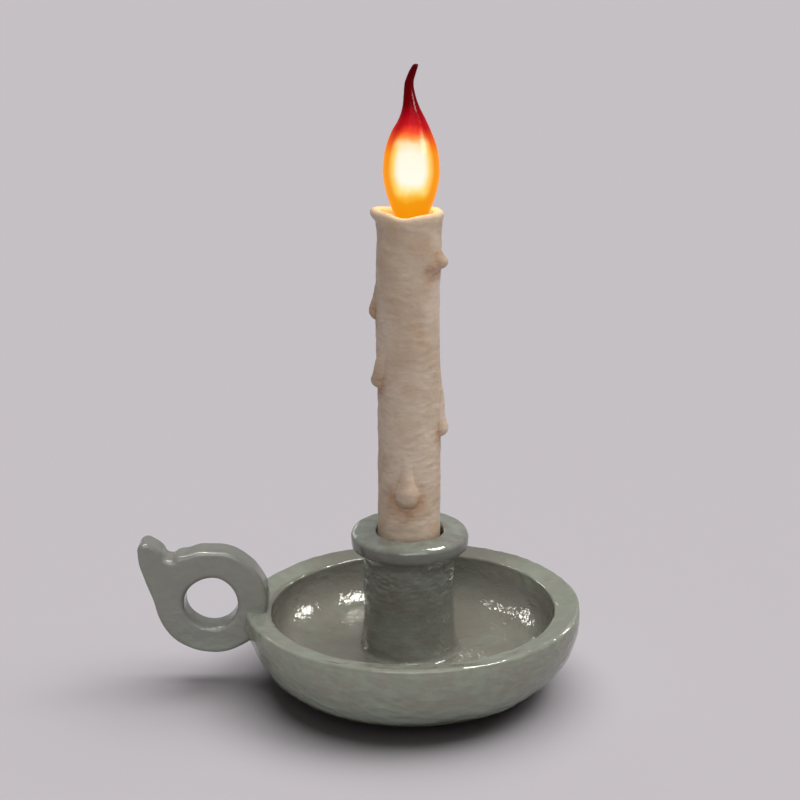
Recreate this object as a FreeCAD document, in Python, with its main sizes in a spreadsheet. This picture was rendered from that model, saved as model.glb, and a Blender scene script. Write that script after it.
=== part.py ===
import FreeCAD, Part
import math
import operator
import os

import Sketcher

# Candle lamp in the shape of a hand-held candlestick. Millimetres, +Z up.
# The origin is on the dish's axis, on the plane that the lamp stands on. The finger ring
# points along -X, the front is -Y and the charging socket and push button face +Y.

document = FreeCAD.newDocument("candle_lamp")

# Driving sizes, one row of the sheet each

SIZES = {
    # Clearances and cuts
    "overrun": 2.0,
    "seat_clearance": 0.2,
    "screw_clearance": 0.2,
    "pilot_clearance": 0.05,
    # Base pad and base cover
    "pad_radius": 54.0,
    "pad_thickness": 1.6,
    "cover_radius": 57.8,
    "cover_thickness": 2.4,
    # Tray: the dish with its hollow foot
    "dish_radius": 108.0,
    "foot_radius": 61.0,
    "foot_gap": 1.0,
    "wall_height": 47.0,
    "rim_rise": 7.0,
    "rim_width": 14.5,
    "rim_fall": 2.6,
    "outer_roll": 2.5,
    "inner_roll": 2.0,
    "dish_sweep": 30.0,
    "floor_thickness": 5.0,
    "cavity_radius": 56.0,
    "cavity_height": 15.0,
    "cup_seat_depth": 1.5,
    "boss_radius": 4.5,
    "boss_circle": 50.0,
    "boss_bore_depth": 8.0,
    # Finger ring
    "ring_radius": 34.8,
    "ring_inset": 0.9,
    "ring_height": 58.3,
    "ring_thickness": 20.0,
    "ring_hole_radius": 16.7,
    "ring_edge": 3.2,
    # Candle cup
    "cup_height": 82.5,
    "cup_base_radius": 32.5,
    "cup_base_edge": 2.5,
    "cup_neck_radius": 29.8,
    "cup_lip_radius": 38.2,
    "cup_lip_height": 12.2,
    "cup_lip_fillet": 7.8,
    "cup_mouth_radius": 21.6,
    "cup_mouth_depth": 25.0,
    "cup_socket_floor": 21.5,
    # Candle sleeve
    "candle_radius": 20.0,
    "candle_wall": 2.4,
    "candle_height": 270.0,
    "candle_flare_height": 14.0,
    "candle_flare": 2.4,
    "candle_lean": 2.8,
    "candle_dip_radius": 14.0,
    "candle_dip_depth": 2.2,
    "drip_radius": 6.1,
    "drip_length": 16.0,
    "drip_standout": 4.0,
    # Threaded tube with its nuts and washers
    "tube_radius": 5.0,
    "tube_bore_radius": 4.0,
    "tube_fit": 0.05,
    "tube_below_nut": 1.5,
    "tube_length": 251.0,
    "nut_across_flats": 14.0,
    "nut_height": 5.0,
    "washer_radius": 9.5,
    "washer_thickness": 1.5,
    # Lampholder
    "disc_thickness": 3.0,
    "holder_height": 34.0,
    "holder_radius": 14.0,
    "holder_skirt_height": 8.0,
    "holder_skirt_wall": 3.0,
    "holder_web": 4.0,
    "coupler_radius": 7.5,
    "coupler_height": 9.5,
    "coupler_flange": 2.5,
    "coupler_flange_radius": 13.5,
    "coupler_spigot": 3.0,
    "thread_shell_wall": 0.4,
    "thread_shell_height": 13.5,
    "contact_strip": 0.5,
    "contact_radius": 5.0,
    "contact_width": 3.0,
    # Lamp bulb
    "contact_gap": 0.2,
    "tip_radius": 2.2,
    "tip_height": 2.5,
    "insulator_height": 3.0,
    "insulator_plug": 4.0,
    "cap_radius": 6.93,
    "cap_wall": 0.35,
    "cap_height": 16.5,
    "cap_fit": 0.08,
    "bulb_radius": 17.5,
    "bulb_height": 103.4,
    "bulb_neck_depth": 4.5,
    "bulb_wall": 0.8,
    "stem_foot_radius": 4.6,
    "stem_radius": 1.3,
    "stem_flare_height": 18.0,
    "stem_height": 60.0,
    "filament_radius": 0.9,
    "filament_length": 34.0,
    "filament_spread": 6.5,
    # Battery and its strap
    "battery_length": 56.0,
    "battery_width": 30.0,
    "battery_height": 9.0,
    "battery_offset": 14.0,
    "battery_corner": 3.0,
    "strap_thickness": 0.8,
    "strap_width": 12.0,
    "strap_reach": 34.0,
    "strap_post_radius": 3.2,
    # Circuit board
    "board_drop": 5.6,
    "board_thickness": 1.6,
    "board_width": 40.0,
    "board_front": 12.0,
    "board_back": 46.0,
    "board_hole_inset": 4.0,
    "board_tongue_width": 30.0,
    "board_tongue_gap": 0.5,
    "board_tongue_step": 2.5,
    "post_radius": 3.0,
    "chip_width": 6.0,
    "chip_height": 1.2,
    "coil_radius": 3.6,
    "coil_height": 3.4,
    # Bay at the back with charging socket and push button
    "bay_width": 34.0,
    "bay_start": 50.0,
    "bay_height": 8.0,
    "port_wall": 7.0,
    "recess_width": 32.0,
    "recess_height": 9.0,
    "socket_offset": 8.0,
    "socket_width": 8.94,
    "socket_height": 3.26,
    "socket_length": 10.2,
    "socket_wall": 0.3,
    "socket_setback": 0.6,
    "socket_tongue_width": 6.6,
    "socket_tongue_height": 0.7,
    "button_offset": 9.0,
    "button_radius": 3.0,
    "button_clearance": 0.3,
    "button_standout": 1.6,
    "button_flange": 0.5,
    "button_flange_thickness": 1.2,
    "button_travel": 0.8,
    "switch_width": 7.0,
    "switch_depth": 4.0,
    "plunger_radius": 1.0,
    "plunger_fit": 0.08,
    "plunger_depth": 2.0,
    # Screws
    "screw_radius": 1.25,
    "screw_length": 7.0,
    "screw_head_radius": 2.5,
    "screw_head_height": 1.5,
    "countersink_depth": 1.3,
    # Wires
    "wire_radius": 0.8,
    "wire_spacing": 1.6,
    "wire_bend": 4.0,
    "wire_landing": 20.0,
    "battery_wire_radius": 0.6,
    "battery_wire_offset": 14.0,
}

sheet = document.addObject("Spreadsheet::Sheet", "Sizes")
for row, (word, number) in enumerate(SIZES.items(), 1):
    sheet.set(f"A{row}", word)
    sheet.set(f"B{row}", str(number))
    sheet.setAlias(f"B{row}", word)
document.recompute()

WORK = {"+": operator.add, "-": operator.sub, "*": operator.mul, "/": operator.truediv}


class Size:
    """A number together with the sheet expression that gives it."""

    def __init__(self, value, text):
        self.value = value
        self.text = text

    def __add__(self, other):
        return combined(self, "+", other)

    def __radd__(self, other):
        return combined(other, "+", self)

    def __sub__(self, other):
        return combined(self, "-", other)

    def __rsub__(self, other):
        return combined(other, "-", self)

    def __mul__(self, other):
        return combined(self, "*", other)

    def __rmul__(self, other):
        return combined(other, "*", self)

    def __truediv__(self, other):
        return combined(self, "/", other)

    def __neg__(self):
        return Size(-self.value, f"(-{self.text})")


def as_size(number):
    if isinstance(number, Size):
        return number
    return Size(float(number), f"({float(number)!r})")


def combined(left, sign, right):
    left = as_size(left)
    right = as_size(right)
    return Size(WORK[sign](left.value, right.value), f"({left.text} {sign} {right.text})")


class SheetSizes:
    """Gives each alias of the sheet as a Size: s.rim_width is the rim's width."""

    def __getattr__(self, word):
        return Size(float(sheet.get(word)), f"Sizes.{word}")


s = SheetSizes()

# Lengths below this count as none
TINY = 1e-6

# A quarter arc passes this share of its radius along both of its axes at half its sweep
DIAGONAL_SHARE = math.sqrt(0.5)


def bind(item, name, size):
    """Tie one property of a document object to the sheet."""
    item.setExpression(name, as_size(size).text)


def place(item, x=0, y=0, z=0):
    """Tie an object's position to the sheet."""
    bind(item, "Placement.Base.x", x)
    bind(item, "Placement.Base.y", y)
    bind(item, "Placement.Base.z", z)


def new_body(name):
    body = document.addObject("PartDesign::Body", name)
    body.Label = name
    return body


def new_sketch(body, role, offset=0):
    """A sketch on one of the body's own origin planes, moved along the plane's normal."""
    sketch = body.newObject("Sketcher::SketchObject", f"{body.Name}_sketch")
    planes = [item for item in body.Origin.OriginFeatures if item.Role == role]
    sketch.AttachmentSupport = [(planes[0], "")]
    sketch.MapMode = "FlatFace"
    bind(sketch, "AttachmentOffset.Base.z", offset)
    return sketch


def point(pair):
    return FreeCAD.Vector(as_size(pair[0]).value, as_size(pair[1]).value, 0)


def hold_point(sketch, geometry, end, pair):
    """Hold a point of the sketch at a place that comes from the sheet."""
    for kind, axis, size in (("DistanceX", -2, pair[0]), ("DistanceY", -1, pair[1])):
        size = as_size(size)
        if abs(size.value) < TINY:
            sketch.addConstraint(Sketcher.Constraint("PointOnObject", geometry, end, axis))
            continue
        held = Sketcher.Constraint(kind, -1, 1, geometry, end, size.value)
        index = sketch.addConstraint(held)
        sketch.setExpression(f"Constraints[{index}]", size.text)


def outline(sketch, *points, closed=True):
    """Draw lines and arcs through the points and hold each of them.

    A point (x, y) is reached by a line. A longer one, (x, y, x, y), is reached by an arc
    that passes through its first pair.
    """
    pieces = []
    for number, step in enumerate(points):
        if number == 0 and not closed:
            continue
        start = point(points[number - 1][-2:])
        if len(step) == 2:
            shape = Part.LineSegment(start, point(step))
        else:
            shape = Part.Arc(start, point(step[:2]), point(step[2:]))
        index = sketch.addGeometry(shape, False)
        forward = (sketch.getPoint(index, 1) - start).Length < (sketch.getPoint(index, 2) - start).Length
        pieces.append((index, 1 if forward else 2, 2 if forward else 1, step))
    for number, (index, start_end, far_end, step) in enumerate(pieces):
        if number or closed:
            before = pieces[number - 1]
            sketch.addConstraint(
                Sketcher.Constraint("Coincident", before[0], before[2], index, start_end)
            )
        else:
            hold_point(sketch, index, start_end, points[0][-2:])
        hold_point(sketch, index, far_end, step[-2:])
        if len(step) == 4:
            middle = sketch.addGeometry(Part.Point(point(step[:2])), True)
            sketch.addConstraint(Sketcher.Constraint("PointOnObject", middle, 1, index))
            hold_point(sketch, middle, 1, step[:2])


def circle(sketch, x, y, radius):
    radius = as_size(radius)
    shape = Part.Circle(point((x, y)), FreeCAD.Vector(0, 0, 1), radius.value)
    index = sketch.addGeometry(shape, False)
    hold_point(sketch, index, 3, (x, y))
    held = sketch.addConstraint(Sketcher.Constraint("Radius", index, radius.value))
    sketch.setExpression(f"Constraints[{held}]", radius.text)


def rectangle(sketch, low_x, low_y, high_x, high_y):
    outline(sketch, (low_x, low_y), (high_x, low_y), (high_x, high_y), (low_x, high_y))


def rounded_slot(sketch, x, y, width, height):
    """A slot with half-round ends, lying along the sketch's first axis."""
    end = (width - height) / 2
    half = height / 2
    outline(
        sketch,
        (x - end - half, y, x - end, y - half),
        (x + end, y - half),
        (x + end + half, y, x + end, y + half),
        (x - end, y + half),
    )


def extruded(body, sketch, length, kind="Pad", reverse=False):
    """A pad or pocket that has to change the body's volume in the right direction."""
    sketch.recompute()
    before = 0 if body.Shape.isNull() else body.Shape.Volume
    feature = body.newObject(f"PartDesign::{kind}", f"{body.Name}_{kind.lower()}")
    feature.Profile = sketch
    feature.Reversed = reverse
    bind(feature, "Length", length)
    document.recompute([feature, body])
    change = body.Shape.Volume - before
    if change * (1 if kind == "Pad" else -1) <= 0:
        raise ValueError(f"{feature.Name} changes nothing")
    return feature


def turned(name, *points):
    """A body made by turning an outline of radii and heights about its own axis."""
    body = new_body(name)
    sketch = new_sketch(body, "XZ_Plane")
    outline(sketch, *points)
    feature = body.newObject("PartDesign::Revolution", f"{name}_turned")
    feature.Profile = sketch
    feature.ReferenceAxis = (sketch, ["V_Axis"])
    feature.Angle = 360
    document.recompute([sketch, feature, body])
    return body


def rounded(body, base, radius, chosen, name):
    """Round the edges of a feature that the test picks."""
    edges = [
        f"Edge{number}"
        for number, edge in enumerate(base.Shape.Edges, 1)
        if chosen(edge)
    ]
    feature = body.newObject("PartDesign::Fillet", name)
    feature.Base = (base, edges)
    bind(feature, "Radius", radius)
    return feature


def drum(name, radius, height, x=0, y=0, z=0):
    item = document.addObject("Part::Cylinder", name)
    bind(item, "Radius", radius)
    bind(item, "Height", height)
    place(item, x, y, z)
    return item


def cut_out(name, base, *tools):
    """A piece made from a base with other shapes taken out of it, one after the other."""
    for number, tool in enumerate(tools, 1):
        last = number == len(tools)
        item = document.addObject("Part::Cut", name if last else f"{name}_cut")
        item.Base = base
        item.Tool = tool
        base = item
    base.Label = name
    return base


def joined(name, base, *others):
    """One solid made from shapes that overlap, joined one after the other."""
    for number, other in enumerate(others, 1):
        last = number == len(others)
        item = document.addObject("Part::Fuse", name if last else f"{name}_fuse")
        item.Base = base
        item.Tool = other
        base = item
    base.Label = name
    return base


def group(name, *placed):
    """Separate solids in one node: each entry is a source and where a copy of it goes."""
    links = []
    for source, x, y, z in placed:
        link = document.addObject("App::Link", f"{name}_copy")
        link.LinkedObject = source
        link.LinkTransform = False
        link.Placement = source.Placement
        place(link, x, y, z)
        links.append(link)
    item = document.addObject("Part::Compound", name)
    item.Label = name
    item.Links = links
    return item


# Heights and radii that several pieces share

ledge = s.pad_thickness + s.cover_thickness
ceiling = ledge + s.cavity_height
dish_floor = ceiling + s.floor_thickness
shoulder = s.foot_gap + s.wall_height
rim_top = shoulder + s.rim_rise
rim_inner_top = rim_top - s.rim_fall
rim_inner_radius = s.dish_radius - s.rim_width
wall_reach = s.dish_radius - s.foot_radius
RECESS_FACE_SHARE = 0.67
recess_face = s.foot_radius + wall_reach * RECESS_FACE_SHARE
bay_end = recess_face - s.port_wall
board_tongue_end = bay_end - s.board_tongue_gap
cup_seat = dish_floor - s.cup_seat_depth
candle_seat = cup_seat + s.cup_socket_floor
stem_hole = s.tube_radius + s.seat_clearance
board_top = ceiling - s.board_drop
bay_bottom = ceiling - s.bay_height
port_height = board_top + s.socket_height / 2
lower_nut = ceiling - s.washer_thickness - s.nut_height
tube_bottom = lower_nut - s.tube_below_nut
tube_top = tube_bottom + s.tube_length
post_bore_radius = s.screw_radius + s.pilot_clearance
board_half = s.board_width / 2
board_hole_x = board_half - s.board_hole_inset
board_holes_y = (s.board_front + s.board_hole_inset, s.board_back - s.board_hole_inset)
board_holes = [(side * board_hole_x, y) for side in (-1, 1) for y in board_holes_y]
battery_middle = -(s.battery_offset + s.battery_width / 2)
battery_bottom = ceiling - s.battery_height
strap_holes = [(side * s.strap_reach, battery_middle) for side in (-1, 1)]
boss_angles = (270, 30, 150)
boss_places = [
    (s.boss_circle * math.cos(math.radians(turn)), s.boss_circle * math.sin(math.radians(turn)))
    for turn in boss_angles
]

# Finger ring: outline as shares of its radius about its centre, round the front view

ring_centre = (s.ring_inset - rim_inner_radius - s.ring_radius, s.ring_height)
RING_OUTLINE_SHARES = (
    (0.689, 0.672, 0.967, 0.011),
    (0.704, -0.684, 0.040, -1.019),
    (-0.677, -0.823, -1.084, -0.202),
    (-1.158, 0.072, -1.256, 0.340),
    (-1.357, 0.626, -1.431, 0.920),
    (-1.367, 1.079, -1.197, 1.087),
    (-1.032, 0.952, -0.921, 0.771),
    (-0.835, 0.706, -0.737, 0.751),
    (-0.560, 0.904, -0.331, 0.953),
    (-0.153, 0.947, 0.025, 0.945),
)
RING_HOLE_SHARES = (-0.080, -0.029)


def ring_place(x_share, z_share):
    return (ring_centre[0] + s.ring_radius * x_share, ring_centre[1] + s.ring_radius * z_share)


ring_outline = [ring_place(*step[:2]) + ring_place(*step[2:]) for step in RING_OUTLINE_SHARES]

# Tray: a dish turned on its axis, with a broad rim that slopes inwards and a hollow foot.
# The foot's cavity is closed by the base cover and has the bosses and posts that carry what
# is inside.

tray = turned(
    "tray",
    (s.foot_radius, s.foot_gap),
    (
        s.foot_radius + wall_reach * DIAGONAL_SHARE,
        shoulder - s.wall_height * DIAGONAL_SHARE,
        s.dish_radius,
        shoulder,
    ),
    (
        s.dish_radius - s.outer_roll * (1 - DIAGONAL_SHARE),
        shoulder + s.rim_rise * DIAGONAL_SHARE,
        s.dish_radius - s.outer_roll,
        rim_top,
    ),
    (rim_inner_radius + s.inner_roll, rim_inner_top),
    (
        rim_inner_radius + s.inner_roll * (1 - DIAGONAL_SHARE),
        rim_inner_top - s.inner_roll * (1 - DIAGONAL_SHARE),
        rim_inner_radius,
        rim_inner_top - s.inner_roll,
    ),
    (
        rim_inner_radius - s.dish_sweep * (1 - DIAGONAL_SHARE),
        dish_floor + (rim_inner_top - s.inner_roll - dish_floor) * (1 - DIAGONAL_SHARE),
        rim_inner_radius - s.dish_sweep,
        dish_floor,
    ),
    (s.cup_base_radius + s.seat_clearance, dish_floor),
    (s.cup_base_radius + s.seat_clearance, cup_seat),
    (stem_hole, cup_seat),
    (stem_hole, ceiling),
    (s.cavity_radius, ceiling),
    (s.cavity_radius, ledge),
    (s.cover_radius + s.seat_clearance, ledge),
    (s.cover_radius + s.seat_clearance, s.foot_gap),
)

boss_sketch = new_sketch(tray, "XY_Plane", ceiling)
circle(boss_sketch, 0, -s.boss_circle, s.boss_radius)
boss = extruded(tray, boss_sketch, s.cavity_height, "Pad", True)
boss_bore_sketch = new_sketch(tray, "XY_Plane", ledge)
circle(boss_bore_sketch, 0, -s.boss_circle, post_bore_radius)
boss_bore = extruded(tray, boss_bore_sketch, s.boss_bore_depth, "Pocket", True)
bosses = tray.newObject("PartDesign::PolarPattern", "tray_bosses")
bosses.Originals = [boss, boss_bore]
bosses.Axis = (boss_sketch, ["N_Axis"])
bosses.Angle = 360
bosses.Occurrences = len(boss_angles)
tray.Tip = bosses

for holes, radius, drop, clamped in (
    (board_holes, s.post_radius, s.board_drop, s.board_thickness),
    (strap_holes, s.strap_post_radius, s.battery_height, s.strap_thickness),
):
    post_sketch = new_sketch(tray, "XY_Plane", ceiling)
    bore_sketch = new_sketch(tray, "XY_Plane", ceiling - drop)
    for x, y in holes:
        circle(post_sketch, x, y, radius)
        circle(bore_sketch, x, y, post_bore_radius)
    extruded(tray, post_sketch, drop, "Pad", True)
    extruded(tray, bore_sketch, s.screw_length - clamped, "Pocket", True)

bay_sketch = new_sketch(tray, "XY_Plane", bay_bottom)
rectangle(bay_sketch, -s.bay_width / 2, s.bay_start, s.bay_width / 2, bay_end)
extruded(tray, bay_sketch, s.bay_height, "Pocket", True)

# The back wall is cut from outside: a recess with a flat face, the socket's slot in it and
# the button's hole
outside = s.dish_radius
through_wall = outside - bay_end + s.overrun
recess_sketch = new_sketch(tray, "XZ_Plane", -outside)
rounded_slot(recess_sketch, 0, port_height, s.recess_width, s.recess_height)
extruded(tray, recess_sketch, outside - recess_face, "Pocket", True)
port_sketch = new_sketch(tray, "XZ_Plane", -outside)
rounded_slot(
    port_sketch,
    -s.socket_offset,
    port_height,
    s.socket_width + s.seat_clearance * 2,
    s.socket_height + s.seat_clearance * 2,
)
circle(port_sketch, s.button_offset, port_height, s.button_radius + s.button_clearance)
extruded(tray, port_sketch, through_wall, "Pocket", True)

# The rim is cut open for the finger ring, which seats in it
ring_seat_sketch = new_sketch(tray, "XZ_Plane", -s.ring_thickness / 2)
outline(ring_seat_sketch, *ring_outline)
extruded(tray, ring_seat_sketch, s.ring_thickness, "Pocket", True)

# Finger ring with its thumb horn

finger_ring = new_body("finger_ring")
ring_sketch = new_sketch(finger_ring, "XZ_Plane", -s.ring_thickness / 2)
outline(ring_sketch, *ring_outline)
circle(ring_sketch, *ring_place(*RING_HOLE_SHARES), s.ring_hole_radius)
ring_plate = extruded(finger_ring, ring_sketch, s.ring_thickness)
rounded(
    finger_ring,
    ring_plate,
    s.ring_edge,
    lambda edge: edge.BoundBox.YLength < TINY,
    "finger_ring_edges",
)

# Candle cup: waisted, with a thick lip; its bore is wide at the mouth and fits the candle
# below

lip_under = s.cup_height - s.cup_lip_height
lip_half = (s.cup_lip_radius + s.cup_mouth_radius) / 2
neck_top = lip_under - s.cup_lip_fillet
candle_fit_radius = s.candle_radius + s.seat_clearance
CUP_NECK_SHARE = 0.62
CUP_LIP_SHARES = (0.25, 0.36, 0.60, 0.45, 0.86, 0.90)
neck_to_lip = s.cup_lip_radius - s.cup_neck_radius

candle_cup = turned(
    "candle_cup",
    (stem_hole, 0),
    (s.cup_base_radius, 0),
    (s.cup_base_radius, s.cup_base_edge),
    (
        s.cup_neck_radius + (s.cup_base_radius - s.cup_neck_radius) * (1 - DIAGONAL_SHARE),
        neck_top * (1 - DIAGONAL_SHARE),
        s.cup_neck_radius,
        neck_top * CUP_NECK_SHARE,
    ),
    (s.cup_neck_radius, neck_top),
    (
        s.cup_neck_radius + neck_to_lip * CUP_LIP_SHARES[0],
        lip_under - s.cup_lip_fillet * CUP_LIP_SHARES[1],
        s.cup_neck_radius + neck_to_lip * CUP_LIP_SHARES[2],
        lip_under,
    ),
    (
        s.cup_lip_radius,
        lip_under + s.cup_lip_height * CUP_LIP_SHARES[3],
        s.cup_lip_radius - neck_to_lip * (1 - CUP_LIP_SHARES[4]),
        lip_under + s.cup_lip_height * CUP_LIP_SHARES[5],
    ),
    (lip_half + neck_to_lip * CUP_LIP_SHARES[0], s.cup_height),
    (s.cup_mouth_radius + neck_to_lip * CUP_LIP_SHARES[0], s.cup_height),
    (
        s.cup_mouth_radius + neck_to_lip * CUP_LIP_SHARES[0] * (1 - DIAGONAL_SHARE),
        s.cup_height - neck_to_lip * CUP_LIP_SHARES[0] * (1 - DIAGONAL_SHARE),
        s.cup_mouth_radius,
        s.cup_height - neck_to_lip * CUP_LIP_SHARES[0],
    ),
    (s.cup_mouth_radius, s.cup_height - s.cup_mouth_depth),
    (candle_fit_radius, s.cup_height - s.cup_mouth_depth - s.candle_wall),
    (candle_fit_radius, s.cup_socket_floor),
    (stem_hole, s.cup_socket_floor),
)
place(candle_cup, z=cup_seat)

# Candle sleeve: a wax-like tube, flared to one side at its uneven rim, with wax runs


def ring_section(name, radius, x, z):
    item = document.addObject("Part::Circle", name)
    bind(item, "Radius", radius)
    place(item, x, 0, z)
    return item


def lofted(name, sections):
    """A solid through circles, each given as radius, shift along X and height."""
    item = document.addObject("Part::Loft", name)
    item.Sections = [ring_section(f"{name}_section", *section) for section in sections]
    item.Solid = True
    return item


candle_top = candle_seat + s.candle_height
flare_base = candle_top - s.candle_flare_height
candle_bore = s.candle_radius - s.candle_wall
FLARE_SHARES = ((0.0, 0.0), (0.35, 0.08), (0.68, 0.42), (1.0, 1.0))

candle_stick = drum("candle_stick", s.candle_radius, flare_base - candle_seat, z=candle_seat)
candle_flare = lofted(
    "candle_flare_solid",
    [
        (
            s.candle_radius + s.candle_flare * wide,
            -s.candle_lean * wide,
            flare_base + s.candle_flare_height * high,
        )
        for high, wide in FLARE_SHARES
    ],
)

# Wax runs: angle round the candle from +X, height of the drop as a share of the candle's
# height, and shares of the common radius, tail length and standout
DRIP_SHARES = (
    (-24, 0.878, 0.90, 0.60, 0.85),
    (171, 0.759, 0.85, 0.75, 0.95),
    (196, 0.602, 0.90, 0.85, 0.95),
    (-4, 0.474, 1.05, 1.30, 1.00),
    (-99, 0.330, 1.30, 1.35, 1.15),
    (78, 0.815, 1.00, 1.10, 0.90),
    (112, 0.430, 1.05, 1.20, 1.00),
)
DRIP_NECK_SHARE = 0.85


def drip(angle, high, wide, long, out):
    """A round drop that stands out of the wax, and the tail that it ran down in."""
    turn = math.radians(angle)
    radius = s.drip_radius * wide
    standout = s.drip_standout * out
    middle = s.candle_radius + standout - radius
    drop = document.addObject("Part::Sphere", "drip_drop")
    bind(drop, "Radius", radius)
    tail = document.addObject("Part::Cone", "drip_tail")
    bind(tail, "Radius1", radius * DRIP_NECK_SHARE)
    bind(tail, "Radius2", radius - standout)
    bind(tail, "Height", s.drip_length * long)
    for item in (drop, tail):
        place(
            item,
            middle * math.cos(turn),
            middle * math.sin(turn),
            candle_seat + s.candle_height * high,
        )
    return drop, tail


candle_bore_cutter = drum(
    "candle_bore_cutter",
    candle_bore,
    flare_base - candle_seat + s.overrun,
    z=candle_seat - s.overrun,
)
candle_mouth_cutter = lofted(
    "candle_mouth_cutter",
    [
        (
            candle_bore + s.candle_flare * wide,
            -s.candle_lean * wide,
            flare_base + s.candle_flare_height * high,
        )
        for high, wide in FLARE_SHARES
    ],
)
candle_tube = cut_out(
    "candle_tube",
    joined("candle_solid", candle_stick, candle_flare),
    candle_bore_cutter,
    candle_mouth_cutter,
)

# The wax runs keep half of the wall under them
wax_runs = cut_out(
    "wax_runs",
    joined("wax_run_solids", *[shape for row in DRIP_SHARES for shape in drip(*row)]),
    drum(
        "wax_run_cutter",
        s.candle_radius - s.candle_wall / 2,
        s.candle_height + s.overrun,
        z=candle_seat,
    ),
)

RIM_TILT_DEGREES = 3.4
rim_cutter = document.addObject("Part::Box", "rim_cutter")
rim_reach = s.candle_radius * 2
for side, length in (("Length", rim_reach * 2), ("Width", rim_reach * 2), ("Height", rim_reach)):
    bind(rim_cutter, side, length)
rim_left = -(s.candle_radius + s.candle_flare + s.candle_lean + s.overrun)
place(rim_cutter, rim_left, -rim_reach, candle_top + s.pilot_clearance)
rim_cutter.Placement.Rotation = FreeCAD.Rotation(FreeCAD.Vector(0, 1, 0), RIM_TILT_DEGREES)
dip_cutter = drum("dip_cutter", s.candle_dip_radius, s.candle_radius)
dip_cutter.Placement.Rotation = FreeCAD.Rotation(FreeCAD.Vector(1, 0, 0), 90)
DIP_SHARES = (-0.30, 0.40)
place(
    dip_cutter,
    s.candle_radius * DIP_SHARES[0],
    -s.candle_radius * DIP_SHARES[1],
    candle_top - s.candle_dip_depth * 2 + s.candle_dip_radius,
)
candle_sleeve = cut_out(
    "candle_sleeve",
    joined("candle_with_runs", candle_tube, wax_runs),
    rim_cutter,
    dip_cutter,
)

# Threaded tube, nuts and washers: they clamp the cup to the tray and carry the lampholder

stem_tube = turned(
    "stem_tube",
    (s.tube_bore_radius, 0),
    (s.tube_radius, 0),
    (s.tube_radius, s.tube_length),
    (s.tube_bore_radius, s.tube_length),
)
place(stem_tube, z=tube_bottom)

tube_fit_radius = s.tube_radius + s.tube_fit
nut_corner = s.nut_across_flats / math.sqrt(3)
nut = new_body("stem_nut")
nut_sketch = new_sketch(nut, "XY_Plane")
outline(
    nut_sketch,
    *[
        (nut_corner * math.cos(math.radians(turn)), nut_corner * math.sin(math.radians(turn)))
        for turn in range(0, 360, 60)
    ],
)
circle(nut_sketch, 0, 0, tube_fit_radius)
extruded(nut, nut_sketch, s.nut_height)

washer = turned(
    "stem_washer",
    (tube_fit_radius, 0),
    (s.washer_radius, 0),
    (s.washer_radius, s.washer_thickness),
    (tube_fit_radius, s.washer_thickness),
)

coupler_bottom = tube_top - s.coupler_height + s.coupler_flange - s.tube_below_nut
disc_bottom = coupler_bottom - s.disc_thickness
stem_nuts = group(
    "stem_nuts",
    (nut, 0, 0, lower_nut),
    (nut, 0, 0, candle_seat + s.washer_thickness),
    (nut, 0, 0, disc_bottom - s.nut_height),
)
stem_washers = group(
    "stem_washers",
    (washer, 0, 0, ceiling - s.washer_thickness),
    (washer, 0, 0, candle_seat),
)

candle_centring_disc = turned(
    "candle_centring_disc",
    (tube_fit_radius, 0),
    (candle_bore - s.seat_clearance, 0),
    (candle_bore - s.seat_clearance, s.disc_thickness),
    (tube_fit_radius, s.disc_thickness),
)
place(candle_centring_disc, z=disc_bottom)

# Lampholder: threaded coupler on the tube, moulded body, threaded sleeve and centre contact

holder_bottom = coupler_bottom + s.coupler_height + s.coupler_flange
skirt_radius = s.holder_radius - s.holder_skirt_wall
coupler_tube_depth = tube_top - coupler_bottom
lampholder_coupler = turned(
    "lampholder_coupler",
    (tube_fit_radius, 0),
    (s.coupler_radius, 0),
    (s.coupler_radius, s.coupler_height),
    (s.coupler_flange_radius, s.coupler_height),
    (s.coupler_flange_radius, s.coupler_height + s.coupler_flange),
    (skirt_radius - s.seat_clearance, s.coupler_height + s.coupler_flange),
    (skirt_radius - s.seat_clearance, s.coupler_height + s.coupler_flange + s.coupler_spigot),
    (s.tube_bore_radius, s.coupler_height + s.coupler_flange + s.coupler_spigot),
    (s.tube_bore_radius, coupler_tube_depth),
    (tube_fit_radius, coupler_tube_depth),
)
place(lampholder_coupler, z=coupler_bottom)

thread_bore = s.cap_radius + s.cap_fit
holder_bore = thread_bore + s.thread_shell_wall + s.tube_fit
web_top = s.holder_skirt_height + s.holder_web
lampholder_body = turned(
    "lampholder_body",
    (0, s.holder_skirt_height),
    (skirt_radius, s.holder_skirt_height),
    (skirt_radius, 0),
    (s.holder_radius, 0),
    (s.holder_radius, s.holder_height - s.holder_skirt_wall),
    (
        s.holder_radius - s.holder_skirt_wall * (1 - DIAGONAL_SHARE),
        s.holder_height - s.holder_skirt_wall * (1 - DIAGONAL_SHARE),
        s.holder_radius - s.holder_skirt_wall,
        s.holder_height,
    ),
    (holder_bore, s.holder_height),
    (holder_bore, web_top),
    (0, web_top),
)
place(lampholder_body, z=holder_bottom)

thread_shell_bottom = s.holder_height - s.thread_shell_height - s.seat_clearance
lampholder_thread_shell = turned(
    "lampholder_thread_shell",
    (thread_bore, 0),
    (thread_bore + s.thread_shell_wall, 0),
    (thread_bore + s.thread_shell_wall, s.thread_shell_height),
    (thread_bore, s.thread_shell_height),
)
place(lampholder_thread_shell, z=holder_bottom + thread_shell_bottom)

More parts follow.
